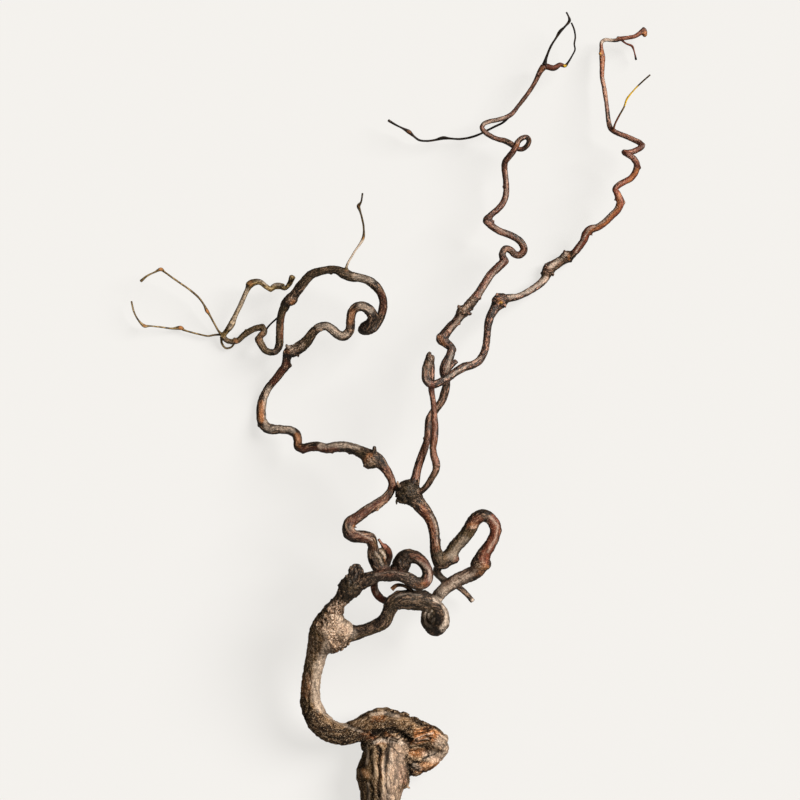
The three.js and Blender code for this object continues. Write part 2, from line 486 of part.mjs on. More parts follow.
const leftLimbShape = (grow) => join([
  stem(LEFT_LIMB, LIMB, 4, grow),
  stem(LEFT_WINDING, LIMB, 5, grow),
  stem(LEFT_ARCH, LIMB, 6, grow),
  stem(LEFT_END, SLIM, 7, grow),
  stem(DEAD_STUB, LIMB, 8, grow, false, true),
  stem(SPUR, TWIG, 9, grow),
  ...knots(LEFT_KNOTS, grow),
]);

const rightLimbShape = (grow) => join([
  stem(RIGHT_LIMB, LIMB, 11, grow),
  stem(RIGHT_CURL, LIMB, 12, grow),
  stem(RIGHT_RISE, LIMB, 13, grow),
  stem(DEAD_TWIG, TWIG, 14, grow, false, true),
  darkKnot(grow),
  ...knots(RIGHT_KNOTS, grow),
]);

const middleLimbShape = (grow) => join([
  stem(MIDDLE_LIMB, SLIM, 15, grow),
  stem(CUT_STUB, TWIG, 16, grow, false, true),
  ...knots(MIDDLE_KNOTS, grow),
]);

const outerLimbShape = (grow) => join([
  stem(OUTER_STEM, SLIM, 19, grow),
  stem(OUTER_LIMB, SLIM, 20, grow),
  stem(OUTER_END, SLIM, 21, grow),
  ...knots(OUTER_KNOTS, grow),
]);

const trunkCut = trunkEnd(FORK_GAP);
const leftCut = leftLimbShape(FORK_GAP);
const rightCut = rightLimbShape(FORK_GAP);
const middleCut = middleLimbShape(FORK_GAP);
const outerCut = outerLimbShape(FORK_GAP);
const endShoot = (grow) => stem(LEFT_END_SHOOT, SLIM, 25, grow);
const upperLeftTwig = (grow) => stem(UPPER_LEFT_TWIG, TWIG, 30, grow);
const topTwig = (grow) => stem(TOP_TWIG, TWIG, 34, grow);
const farLeftCut = leftCut.add(endShoot(FORK_GAP));
const lowerLeftCut = farLeftCut.add(upperLeftTwig(FORK_GAP));
const topSideCut = middleCut.add(topTwig(FORK_GAP));
const redShoot = stem(RED_SHOOT, SLIM, 26).add(stem(RED_SPUR, TWIG, 27));

const branch = new THREE.Group();
branch.add(
  named('trunk', trunkShape, 'bark'),
  named('left_limb', leftLimbShape(0).subtract(trunkCut), 'brown'),
  named('right_limb', rightLimbShape(0).subtract(trunkCut), 'brown'),
  named('middle_limb', middleLimbShape(0).subtract(rightCut), 'red'),
  named('outer_limb', outerLimbShape(0).subtract(rightCut).subtract(middleCut), 'red'),
  named('red_shoot', redShoot.subtract(rightCut).subtract(leftCut), 'red'),
  named('short_shoot', stem(SHORT_SHOOT, SLIM, 24, 0, false, true).subtract(rightCut), 'brown'),
  named('arch_twig', stem(ARCH_TWIG, TWIG, 28).subtract(leftCut), 'olive'),
  named('hidden_twig', stem(HIDDEN_TWIG, TWIG, 29).subtract(leftCut), 'dark'),
  named('left_end_shoot', endShoot(0).subtract(leftCut), 'olive'),
  named('upper_left_twig', upperLeftTwig(0).subtract(farLeftCut), 'olive'),
  named('lower_left_twig', stem(LOWER_LEFT_TWIG, TWIG, 31).subtract(lowerLeftCut), 'olive'),
  named('left_hook_twig', stem(LEFT_HOOK_TWIG, TWIG, 32).subtract(lowerLeftCut), 'olive'),
  named('crossing_twig', stem(CROSSING_TWIG, TWIG, 33).subtract(middleCut), 'dark'),
  named('top_twig', topTwig(0).subtract(middleCut), 'dark'),
  named('top_side_twig', stem(TOP_SIDE_TWIG, TWIG, 35).subtract(topSideCut), 'dark'),
  named('yellow_twig', stem(YELLOW_TWIG, TWIG, 36).subtract(outerCut), 'olive'),
  named('end_twiglet', stem(END_TWIGLET, TWIG, 37).subtract(outerCut), 'dark'),
);

export default branch;
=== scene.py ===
# The looks of a dried contorted jujube branch that lies on a pale floor.
# Metres, +Z up, +Y from the cut end to the tips. Shapes are worked out in millimetres and shrunk at the end.

import math

import bpy
import numpy as np
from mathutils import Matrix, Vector


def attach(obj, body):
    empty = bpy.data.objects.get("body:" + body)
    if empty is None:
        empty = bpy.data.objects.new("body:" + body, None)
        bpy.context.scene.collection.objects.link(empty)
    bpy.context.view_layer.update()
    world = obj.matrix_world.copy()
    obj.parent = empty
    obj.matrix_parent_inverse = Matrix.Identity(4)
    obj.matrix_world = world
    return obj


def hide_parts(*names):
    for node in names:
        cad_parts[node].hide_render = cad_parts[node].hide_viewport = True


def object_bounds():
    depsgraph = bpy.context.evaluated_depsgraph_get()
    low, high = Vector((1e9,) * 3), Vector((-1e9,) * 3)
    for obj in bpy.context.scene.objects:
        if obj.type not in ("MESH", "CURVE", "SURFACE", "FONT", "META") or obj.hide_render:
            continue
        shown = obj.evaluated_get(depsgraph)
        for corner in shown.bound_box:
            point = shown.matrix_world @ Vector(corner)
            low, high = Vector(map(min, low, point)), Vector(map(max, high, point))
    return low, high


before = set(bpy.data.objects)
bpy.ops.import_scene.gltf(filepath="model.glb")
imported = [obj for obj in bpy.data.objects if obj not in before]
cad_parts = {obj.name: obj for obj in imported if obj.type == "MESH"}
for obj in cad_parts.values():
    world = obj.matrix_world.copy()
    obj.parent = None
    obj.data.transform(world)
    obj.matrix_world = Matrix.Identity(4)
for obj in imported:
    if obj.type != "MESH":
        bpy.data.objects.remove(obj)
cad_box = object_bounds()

MM = 0.001

# The plan is a life-size drawing of the branch as it looks from straight above, in millimetres.
PLAN_CENTRE = (400, 400)
EYE_HEIGHT = 3000
REST_SPOT = (383, 776)

# Each kind of skin: corners round, millimetres between rings, and the height in millimetres of its broad
# lumps, long furrows, wrinkles across the stem and fine grain on a stem of the radius it is meant for.
# Coarse is how large its bark pattern is, as a share of that of the thickest skin.
SKINS = {
    "trunk": dict(sides=116, step=0.95, lumps=1.5, furrows=1.4, wrinkles=0.45, fine=0.5,
                  meant=15, coarse=1.0),
    "bole": dict(sides=108, step=0.9, lumps=1.6, furrows=1.1, wrinkles=0.4, fine=0.5,
                 meant=12, coarse=0.85),
    "limb": dict(sides=56, step=0.8, lumps=0.8, furrows=0.7, wrinkles=0.34, fine=0.34,
                 meant=6.5, coarse=0.5),
    "slim": dict(sides=40, step=0.75, lumps=0.5, furrows=0.34, wrinkles=0.2, fine=0.16,
                 meant=4, coarse=0.36),
    "twig": dict(sides=18, step=0.6, lumps=0.16, furrows=0.06, wrinkles=0.06, fine=0.05,
                 meant=1.2, coarse=0.2),
}

# Each finer layer of a noise is shifted by this many of its bumps.
LAYER_APART = 17.3

# The noises of the bark: bump size along the stem, size across it, and seed. A size is millimetres for each
# unit of how coarse the skin is, and then the millimetres that every skin has besides.
BARK_NOISES = {
    "warp": ((18, 4), (9, 2), 50), "lumps": ((26, 3), (14, 3), 0), "furrows": ((19.0, 0), (4.8, 0), 10),
    "knot_furrows": ((6.0, 0), (4.8, 0), 10), "spread": ((34, 0), (15, 0), 60),
    "plates": ((9, 0), (3.4, 0), 20), "wrinkles": ((2.0, 0.4), (7, 0), 30), "fine": ((2.6, 0), (1.7, 0), 40),
}

# How far the warp bends the furrows, and how narrow and steep they are. The share of their full depth that
# they have: in the middle and how far it varies from place to place, its least and most, and how much of it
# is left on a knot. The height of the plates between them as a share of their depth.
WARP_REACH = 3.2
FURROW_NARROW = 3.4
FURROW_STEEP = 1.4
FURROW_DEPTH = (0.55, 1.1)
FURROW_LIMITS = (0.12, 1.25)
KNOT_FURROWS = 0.45
PLATE_SHARE = 0.35

# The relief grows with the thickness of the stem up to this. Rise is the relief as 0 in a crack to 1 on a
# ridge: the middle one, and how much of the relief it shows. A sawn end is marked by a rise far above 1.
FULL_RELIEF = 1.15
MIDDLE_RISE = 0.62
RISE_SHARE = 0.88
SAWN_RISE = 2

# Steps of the curve between two rows of a route. On the inside of a tight bend each ring keeps this share of
# the spacing clear of the next one.
ROUTE_STEPS = 40
RING_CLEAR = 0.12

# A rounded end is this share of its radius long. Every end has one ring less than this number, and these are
# the shares of the radius at which a flat end has them.
DOME = 0.55
DOME_RINGS = 7
CUT_RINGS = (0.985, 0.9, 0.72, 0.54, 0.36, 0.18)

# Bark winds round its stem by this angle in a millimetre. Stems and lumps with seeds one apart have barks
# that are drawn this many millimetres apart, so that no two are alike.
BARK_TWIST = 0.02
STEM_APART = 211.0
LUMP_APART = 97.0

# A lump has at least this many rows from pole to pole. It is blended into the stems over this many
# millimetres, or over this share of its smallest radius if that is less.
LUMP_ROWS = 12
LUMP_BLEND = 7
LUMP_SHARE = 0.6

# Marks are cut where the skin faces up or sideways: from this far below level, and in full this much higher.
MARK_EDGE = 0.25
MARK_FADE = 0.35

# Flaking bark is this many layers thick, and the steep edge of a layer starts at this share of it. Its flakes
# are longer along the stem, and it fades out toward the end of its reach.
FLAKE_LAYERS = 2.6
FLAKE_EDGE = 0.62
FLAKE_LENGTH = 1.5
FLAKE_FADE = 1.6
FLAKE_SEED = 80

# How much lighter or darker marks, flakes and buds are than the bark beside them, as a rise; the bark's
# colour shows the rise as painted light and shade of the relief.
MARK_SHADE = 0.5
FLAKE_SHADE = 0.3
BUD_SHADE = 0.25

# The seeds of splinters count up from this one.
SPLINTER_SEED = 40

# The route of each stem: across, down, height and radius of its middle line.
ROUTES = {
    "stump": [
        (379, 828, 18.6, 18.5), (379, 815, 19, 19), (380, 801, 19.4, 19.6), (381.3, 789, 21.3, 22.2),
        (382.8, 776, 23.2, 24.7), (383, 763, 22.4, 23.4), (384, 752, 20.8, 21.4), (386, 744, 20, 17.5),
    ],
    "lower_arm": [
        (394, 763, 19, 14.5), (406, 761.5, 18, 15.2), (416, 760.5, 18, 14.6), (427, 757.5, 17.5, 12.4),
        (435, 751, 18.5, 11.5), (438, 744.5, 21, 10.8),
    ],
    "upper_arm": [
        (438, 744, 21, 10.8), (431, 736.5, 23.5, 11), (416, 731.5, 26, 12.6), (400, 727, 27, 13.7),
        (386, 723.5, 28, 14.6), (371, 725.5, 28.5, 12.8), (358, 730, 29, 11.3), (344, 734, 30, 10.8),
        (330, 730.5, 32, 11.5), (318, 720, 35, 12), (312, 706, 40, 10.7), (310.5, 692, 46, 10),
        (312, 675, 53, 9.8), (315.5, 658, 60, 10.2), (319.5, 645, 66, 11.5), (324, 634, 71, 13),
        (329, 623, 74, 12), (332.5, 614, 76, 9),
    ],
    "left_base": [
        (331.3, 617, 75, 8.6), (334.3, 609, 77, 7.6), (341.3, 600, 81, 7.7), (348.3, 591, 85, 9),
        (358, 584, 89, 7.9), (368, 579.5, 92, 7.3), (380, 575.5, 94, 6.2), (392, 575, 95, 5.9),
        (402, 576, 95, 6.2), (410, 580, 94.5, 6.5), (417, 583.6, 93, 6.3), (424.6, 581.8, 91, 6.1),
        (427.8, 574.3, 88, 5.7), (425.6, 566.4, 86, 5.4), (420.6, 560.3, 84, 5.8), (413, 557, 81.5, 6.6),
        (405.5, 558, 79, 8.2), (402, 563.5, 77.5, 9.4), (398.5, 569.5, 76.5, 8.8), (391, 574, 77, 7.2),
        (383, 571.5, 79, 6.8),
    ],
    "left_winding": [
        (386, 572.5, 78, 6.4), (378, 565, 80, 7), (373.5, 555, 83, 6.3), (373, 546, 86, 5.6),
        (370, 538.5, 89, 6.2), (362, 536.5, 92, 6.5), (353, 535.5, 94, 6.5), (348.5, 529, 94, 6),
        (350, 522.5, 92, 6), (358, 517, 89, 5.5), (367, 510.5, 86, 5.3), (376, 505, 83, 5.5),
        (385, 498.5, 80, 4.8), (391, 490, 78, 4.2), (392, 482, 77, 4.1), (389, 474.5, 76, 4.4),
        (384, 467, 75, 5), (378, 460.5, 74, 6.5), (371, 457, 72, 7.3), (363, 453, 70, 6.2),
        (354, 449, 67, 5.4), (345, 446.6, 63, 5.4), (335, 446.9, 59, 5.2), (327, 448.4, 55, 4.9),
        (318, 446.5, 50, 4.9), (310, 446.9, 45, 4.6), (303, 448.3, 41, 4.5), (298, 446.5, 37, 4.3),
        (297.8, 440, 33, 4.3), (296, 434, 29, 4.5), (290, 430.5, 25, 4.4), (282, 429.5, 21, 4.3),
        (274, 429.5, 17, 5), (266.5, 427.5, 12.5, 5.2), (262, 421, 8, 4.9), (261, 412, 4.5, 4.8),
        (261.7, 404, 4.2, 4.7), (264.3, 395.5, 6, 4.1), (269, 387, 9.5, 4), (275.5, 379, 14, 4.1),
        (281.5, 371.5, 19, 4.3), (286, 365, 23.5, 4.5), (286.7, 358.5, 28, 4.2), (289, 352.5, 32, 6),
        (295, 350, 35.5, 6.3), (302, 345.3, 39, 6.3), (308, 339.5, 43, 5.5), (313, 332.5, 47, 4.8),
        (319, 327.5, 51, 4.5), (326, 326, 54, 4.3), (332, 329.5, 56, 4.5), (338, 334.5, 58, 4.6),
        (344, 336, 60, 4.9), (349.5, 330.5, 62, 4.6), (350.7, 320.5, 65, 4.6), (351.8, 313, 67, 4.8),
        (355.5, 308, 69, 5), (362, 306.3, 70, 5), (368.7, 309.6, 69, 5.4), (372.6, 316, 66, 5.6),
        (370.3, 323, 62, 5.4), (364.5, 328, 56, 5),
    ],
    "left_arch": [
        (366, 327, 58, 5.2), (362.5, 329.5, 51, 4.8), (366, 331, 43, 4.3), (373, 329, 38, 4),
        (379, 321, 36, 4), (382.3, 311, 38, 4.5), (383.2, 302, 41, 4.3), (380.7, 293, 45, 4.3),
        (376, 286.5, 49, 4.6), (369, 281, 52, 4.5), (360, 278, 54, 4.5), (351, 276.5, 55, 5.2),
        (344, 273.5, 55, 5.4), (336, 270, 54, 4.1), (328, 270, 52, 4), (318, 272, 49, 4.2),
        (311, 274.7, 46, 4.6), (305.5, 280, 43, 4.8), (300.5, 286.5, 40, 5), (296.5, 292, 37, 4.9),
        (291.5, 298, 34, 5.3), (286, 303, 30, 4.7), (283, 309.5, 27, 4.1), (281, 317, 24, 4.1),
        (280, 326, 21, 4.1), (279.8, 336, 19, 4.1), (279.1, 345, 18, 4.1), (276, 351, 18, 3.5),
        (271, 352.3, 19.5, 3.5), (265, 350, 22, 3.4), (261, 344, 24.5, 3.8), (258.7, 339.5, 25, 3.7),
    ],
    "left_tail": [
        (258.7, 339.5, 24.5, 3.7), (260.5, 336, 20, 3.5), (264, 332, 16.5, 3.5), (262, 328, 14, 3.2),
        (256, 328.3, 12.5, 3.1), (250, 331, 11.5, 3.1), (244, 335, 10.5, 3.2), (238, 340.3, 9.5, 3.1),
        (232, 341.7, 9, 2.8), (227, 340.5, 8.5, 2.7), (222.5, 336.5, 8, 2.7),
    ],
    "dead_stub": [
        (350, 588, 86, 9), (353, 580, 87, 8.3), (356, 572.5, 87, 6.4), (356.8, 565.8, 87, 4),
    ],
    "spur": [
        (372, 459, 75, 4), (374, 452.5, 78, 2.8), (374.5, 447, 80, 1.6),
    ],
    "right_base": [
        (344, 633, 74, 9.5), (354, 633, 74, 8.4), (363, 631, 76, 6.9), (374, 627, 78, 6.6),
        (384, 621, 80, 7.4), (389, 611, 81, 7.4), (393, 603.5, 82, 8.6), (402, 600, 82, 9.8),
        (414, 600.4, 80, 10.3), (426, 602, 77, 9.5), (436, 607.5, 72, 8.2), (441.5, 615, 66, 7.5),
        (440, 624, 59, 8),
    ],
    "right_curl": [
        (441, 622, 61, 7.8), (435.2, 628.3, 53, 8.2), (428.5, 621.5, 46, 7.2), (429, 612, 42, 6.8),
        (433, 604, 41, 6.4), (438, 596.5, 42, 6.4), (445.6, 588.6, 45, 6.6), (455, 581.4, 49, 6.7),
        (467, 576, 54, 6.9), (476.4, 571.5, 58, 7.3), (480.6, 563, 61, 8.5), (484, 554, 63, 7),
        (490, 545, 65, 6), (494.7, 535, 67, 5.7), (495, 526.3, 69, 5.8), (490.5, 519, 70, 6),
        (483, 515.8, 70, 6.5), (475, 520, 69, 6.8), (469.7, 529, 67, 7), (463, 538, 65, 7),
        (455, 546.5, 64, 7), (449.5, 555, 64, 6.6), (443, 560.5, 65, 6.5),
    ],
    "right_rise": [
        (449, 558, 64, 6.4), (440.5, 562, 65, 7), (436.5, 554, 67, 6.3), (435, 543, 70, 5.4),
        (433.9, 530.5, 73, 5.4), (431, 520.5, 75, 5.7), (425.2, 511.5, 77, 6.5), (418.2, 503, 79, 7.3),
        (411, 495, 80, 9.3), (408, 490, 80, 9),
    ],
    "dead_twig": [
        (412.5, 593.5, 82, 2.2), (410, 589.3, 83.5, 1.8), (404.5, 586, 84.5, 1.8), (398.5, 585, 85, 1.9),
        (395.3, 586, 85, 2.1), (391.8, 589.3, 84.5, 2.3),
    ],
    "middle": [
        (413, 488, 81, 5.2), (415, 481, 81, 4.7), (417, 470.5, 80, 4.3), (420, 460.5, 79, 4.2),
        (424, 450, 77, 4), (427, 440, 75, 3.8), (428, 430, 73, 3.8), (429.5, 419, 71, 4),
        (434.8, 410.4, 69, 4.2), (441.6, 401.4, 68, 3.9), (444.7, 392, 68, 4.2), (446.3, 384, 69, 4),
        (445, 376.5, 70, 4.6), (444, 370.5, 70, 5), (446.3, 363, 69, 5), (450.3, 355, 67, 4.3),
        (451, 348, 65, 4.3), (446, 343.3, 63, 4.6), (442, 339, 62, 5), (445, 334.3, 61, 5),
        (449.5, 328.4, 61, 4.5), (455, 322.2, 62, 4.1), (459.5, 316.5, 63, 4.6), (465.5, 309, 63, 5),
        (471.5, 302.3, 61, 5), (476.7, 295.8, 58, 4.6), (481.8, 288, 55, 4.5), (486.8, 280, 52, 4.2),
        (491.8, 273, 50, 4.2), (498.5, 267, 49, 4.3), (503.7, 261.3, 48, 4.2), (502.2, 254, 46, 3.6),
        (505.5, 248.7, 44, 3.5), (510.7, 250.2, 42, 3.5), (514.6, 254.2, 40, 3.7), (519.8, 255, 39, 3.8),
        (523.8, 250, 39, 3.8), (521.8, 243.3, 40, 3.7), (516.2, 238.3, 42, 3.6), (508, 234.3, 44, 3.6),
        (500, 231.3, 45, 3.6), (492, 226.3, 44, 3.6), (487.7, 220.3, 42, 3.9), (491.3, 214.8, 39, 3.2),
        (497.3, 209.8, 37, 3.2), (502.3, 204, 35, 3.2), (505.3, 197.3, 34, 3.2), (506.2, 188, 34, 3),
        (505.5, 178, 35, 3), (504.5, 169.2, 36, 3), (505, 162.2, 38, 3), (508.7, 157, 40, 3),
        (512.8, 151.9, 42, 3), (515.8, 146.8, 43, 3), (518, 141.8, 43, 2.8), (522, 138.2, 42, 2.6),
        (526.5, 137.2, 40, 2.6), (529, 140.7, 37, 2.5), (527, 145.7, 34.5, 2.5), (522, 149.2, 32.5, 2.4),
        (516.5, 148.2, 31, 2.5), (510.5, 143.7, 30, 2.8), (504.5, 140.7, 29, 2.8), (498, 139.2, 29, 2.6),
        (491, 136.2, 30, 2.5), (485, 132.2, 31, 2.5), (482, 127.7, 31, 2.3), (484, 123.8, 30, 2.2),
        (490, 121.3, 29, 2.2), (497, 120, 28, 2.3), (505.3, 117.6, 27, 2.4), (511.8, 113.9, 26, 2.4),
        (517.9, 106.4, 25, 2.1), (525, 97.4, 24, 2.1), (531, 88.9, 24, 2.1), (536, 80.4, 25, 2.4),
        (539.9, 72, 26, 3), (543.4, 66.8, 27, 3.6),
    ],
    "cut_stub": [
        (446, 371, 70, 3), (451, 366.5, 69, 2.5), (456.5, 361, 67, 2.4),
    ],
    "outer_stem": [
        (413, 490, 82, 4.5), (421, 491, 85, 3.2), (427, 485.5, 87, 3), (432, 477.5, 88, 3.2),
        (436, 470, 88, 3.6), (436.2, 463, 88, 4.1), (433.9, 456, 89, 3.8), (433, 448, 90, 3.4),
        (434, 440, 90, 3.8), (435, 430, 89, 3.6), (434.5, 420, 89, 3.3), (434, 410, 89, 3),
        (433, 400, 90, 3), (431.5, 390, 91, 3.2), (431.5, 378, 93, 3.2), (431.5, 368, 95, 3.4),
        (430, 357.3, 98, 4.2),
    ],
    "outer": [
        (430, 357.3, 99, 4.7), (427.7, 364.5, 103, 4.8), (426.3, 372.5, 105, 4.8), (427.1, 380.4, 106, 4.9),
        (432.4, 384.4, 105, 4.3), (440.3, 382, 102, 3.9), (448.3, 377.5, 98, 4), (456.3, 371.5, 93, 4.2),
        (464.3, 367, 88, 4.2), (472.3, 364.8, 82, 4), (478.8, 361, 77, 4), (483.2, 354, 71, 3.8),
        (486, 345, 65, 3.6), (487, 335, 58, 3.7), (488, 325.3, 52, 4.1), (490, 317.3, 46, 4.3),
        (493.7, 310, 41, 4.9), (499.2, 302.3, 36, 6), (507, 298.4, 30, 4.3), (516, 297.3, 24, 3.5),
        (524, 294, 18.5, 3.4), (532.8, 289, 13, 3.6), (540.4, 283.5, 9, 3.9), (545, 278, 6.2, 4.3),
        (548.3, 270, 4.6, 5), (555.2, 264.8, 4.5, 5.1), (561.2, 260.8, 5.5, 4.9), (567.2, 257.5, 8, 5),
        (573.3, 253.6, 12, 4), (578.5, 247.6, 16, 3.8), (583.6, 240.6, 20, 3.8), (586.2, 233.6, 24, 4),
        (590.5, 229.4, 27, 4.2), (597.3, 227.4, 30, 3.8), (604.2, 222.9, 33, 3.7), (611.3, 216.1, 36, 3.7),
        (617.6, 209.5, 39, 3.7), (620.1, 201.3, 41, 3.9), (617.4, 194.2, 42, 3.3), (615.2, 189, 41, 2.9),
        (618.3, 185.4, 40, 3), (624, 182, 39, 3.1), (631, 178, 39, 3.3), (635.8, 171, 41, 3.4),
        (636.8, 164, 44, 3.1), (633, 158, 47, 3.1), (628, 154.5, 49, 2.8), (624.5, 152.4, 48, 2.6),
    ],
    "outer_tail": [
        (627, 153.9, 49, 2.5), (624, 152.2, 47, 2.5), (626.5, 152.4, 42, 2.6), (632, 151.8, 39, 2.8),
        (638, 149.3, 37, 3), (641.8, 146.3, 35, 3.1), (639.8, 143, 33, 3), (634, 140, 32, 2.7),
        (626.2, 136.5, 31, 2.7), (617.4, 133, 30, 2.7), (611.1, 128.8, 29, 2.6), (608.8, 122.3, 28, 2.3),
        (607.4, 112, 26, 2.1), (606, 100, 24, 2.2), (604.1, 88, 22, 2.2), (602.1, 77, 20, 2.2),
        (602.1, 66, 18, 2.5), (602.3, 57, 17, 3), (601.3, 48, 16, 2), (601.6, 42.5, 16, 1.9),
        (604.7, 39.9, 16, 1.8), (610, 40.1, 16, 1.7), (616, 40.3, 17, 1.8), (621, 38.6, 18, 2.2),
        (628, 37.7, 19, 2.1), (635, 36.2, 19, 2), (640, 33.2, 18, 2.3), (644.5, 29.7, 17, 3),
    ],
    "red": [
        (389, 608, 78, 3.8), (387, 602, 69, 3.8), (380.5, 598, 63, 3.9), (375.5, 591.5, 60, 3.9),
        (374.3, 583, 58, 3.7), (379, 573.5, 57, 3.7), (386, 565.5, 58, 3.7), (389, 557, 64, 3.7),
        (387.6, 550.5, 73, 3.7), (384.4, 546.8, 80, 3.4),
    ],
    "red_spur": [
        (384.4, 546.8, 80, 2.4), (381.3, 543.2, 81, 1.6), (378.7, 539.5, 82, 1.4),
    ],
    "short": [
        (438.5, 566.5, 57.5, 4.1), (436.8, 571.5, 50, 4), (439.5, 576, 42, 3.6), (444.5, 580, 34, 3.2),
        (452, 583.5, 29, 3), (460, 588, 25, 2.8), (466.5, 594, 21, 2.6), (472.5, 601, 18, 2.5),
    ],
    "arch": [
        (345.5, 271, 57, 1.7), (347.5, 264, 60, 1.3), (355, 251, 64, 1), (363, 238.5, 67, 1.5),
        (363.7, 228, 70, 1), (362, 218, 73, 1), (360, 211, 75, 1.1), (358.5, 206, 77, 1.8),
        (361, 202, 79, 1), (362.5, 193.5, 82, 0.9),
    ],
    "hidden": [
        (291, 300, 29, 1.3), (287, 310, 20, 1.1), (281, 315, 14, 1), (275, 320, 11, 1), (268, 327, 8, 1),
        (264, 334, 7, 0.9),
    ],
    "end_shoot": [
        (222.5, 336, 9, 2.7), (226.7, 331, 11, 2.9), (231.2, 325, 14, 3.4), (234.5, 317, 17, 2.6),
        (239.5, 307, 21, 2.3), (243.5, 298, 25, 2.3), (247.5, 289.3, 28, 2.7), (250.7, 284, 30, 3.9),
        (256, 282, 30, 3.2), (260.5, 282.3, 28, 3), (265.3, 286, 25, 2.8), (270.3, 288.7, 22, 2.5),
        (275.3, 286.2, 20, 3.3), (280.3, 286.2, 19, 3.2), (285, 288, 19, 2.3), (289.3, 284, 20, 2.5),
        (292.3, 277, 22, 3.4),
    ],
    "upper_left": [
        (221, 334, 8.5, 1.5), (218.5, 331, 10, 1.1), (214, 323, 13, 1), (209, 314, 16, 1.2),
        (207, 311, 17, 1.8), (204, 305, 18, 1), (199, 298, 19, 1), (190, 290, 21, 1), (180, 283, 24, 1),
        (170, 276, 27, 1), (164, 271.5, 29, 1.2), (161, 269.3, 30, 2), (155, 272, 29, 1), (147, 276, 27, 1),
        (141, 281, 25, 1.5),
    ],
    "lower_left": [
        (220.5, 334.5, 7, 1.3), (214, 335, 6, 1), (208, 336, 5.5, 0.9), (200, 334.5, 5, 0.9),
        (192, 332.5, 5, 0.9), (184, 330, 5, 1.2), (181, 328, 5, 2.1), (172, 328.5, 6, 1),
        (160, 327, 8, 0.9), (150, 326, 10, 0.9), (144.5, 326, 11, 1.7), (139, 321, 13, 0.9),
        (134, 312, 16, 0.9), (131.5, 301.5, 18, 0.9),
    ],
    "hook": [
        (221.5, 337, 7, 1.4), (221.8, 343, 5.5, 1.1), (225.5, 348, 4.5, 1), (231, 347.3, 4.2, 1),
        (234.5, 343.3, 5.5, 1),
    ],
    "crossing": [
        (508, 117.5, 23, 1.6), (503, 122.5, 20, 1.1), (495, 126.5, 18, 1.1), (487, 130.5, 17, 1.1),
        (479, 134.5, 16, 1.1), (470, 137.5, 15, 1.1), (460, 139, 14, 1.1), (450, 138.5, 13, 1.1),
        (443, 138, 12, 1.8), (435, 140, 12, 1.1), (426, 141, 13, 1.1), (419, 140, 14, 1.1),
        (413.5, 136, 16, 1.2), (409, 132, 18, 2.1), (402, 128, 20, 1), (396, 125, 22, 1),
        (388.5, 120.5, 24, 1.3),
    ],
    "top": [
        (544.5, 64, 27, 2.4), (546.5, 57, 28, 1.4), (551, 46, 30, 1.1), (556, 38, 32, 1.1),
        (560, 31.5, 34, 1.7), (565, 26.5, 35, 1), (569.5, 20.5, 36, 1.5), (568.3, 16, 37, 0.9),
        (566.5, 12.5, 38, 1),
    ],
    "top_side": [
        (545, 66, 26, 3), (554, 68, 24, 2.9), (560, 64.7, 22, 2.3), (565, 65.8, 21, 1.7),
        (568, 62.5, 21, 1), (572, 56, 22, 0.9), (575, 49.5, 23, 0.9), (574.3, 44, 24, 0.9),
        (575.3, 37, 26, 0.9), (574, 29, 28, 0.9), (571.5, 23, 30, 0.9),
    ],
    "yellow": [
        (613, 131, 31, 1.3), (615, 124, 35, 1), (619, 116, 39, 0.9), (624, 107, 43, 0.9), (627, 99, 46, 1),
        (634, 90, 49, 0.8), (642, 82, 52, 0.8), (650, 75, 55, 0.8),
    ],
    "twiglet": [
        (621, 39.5, 17, 1.3), (626, 43.5, 14, 0.9), (632, 46.2, 12, 1.3), (634.3, 52, 11, 0.8),
        (636, 59.5, 10, 1.2),
    ],
}

# Knots, burls and swellings of a piece: across, down and height of the middle, and the radius each way.
KNOTS = {
    "trunk": [
        (323.7, 634, 71, 12.8, 16, 14), (335, 630.5, 74, 14.5, 14, 13.5), (345.5, 632.5, 74, 11, 9.5, 11),
        (334, 644, 70, 9.5, 8.5, 10), (367, 774, 22, 9.5, 10, 12), (401, 781, 23, 8, 8, 11),
        (397, 747, 24, 9, 8.5, 14), (371, 745, 26, 9.5, 8, 12), (375, 717, 31, 10, 7, 8),
        (306, 703, 40, 5.5, 7, 7), (414, 745.5, 21, 13, 7, 9),
    ],
    "left_limb": [
        (351, 586, 88, 10, 9, 9), (381.2, 556, 83, 5.7, 8, 5.8), (370, 461.6, 74, 8, 7.6, 6.5),
        (292, 351, 36, 6.5, 5.2, 6.5), (291, 300, 34, 6, 5.6, 5.5),
    ],
    "right_limb": [
        (481, 564, 62, 9.3, 6.5, 9), (453, 559, 65, 6.5, 4.8, 6.2), (409, 491, 80, 11, 10.5, 10),
        (402, 496, 80, 6, 8, 7),
    ],
    "middle_limb": [
        (442, 339.5, 62, 5.8, 4.8, 5.5), (463, 311.5, 64, 6.5, 5.2, 5.5), (487.5, 220.5, 42, 4.8, 4.4, 4.4),
    ],
    "outer_limb": [
        (500, 300.5, 36, 7.4, 7.2, 7), (549, 269, 6, 6, 6.5, 5.6), (567, 256, 8, 6, 5.2, 5.4),
        (644.5, 33.5, 17, 2.7, 3.4, 2.7),
    ],
}

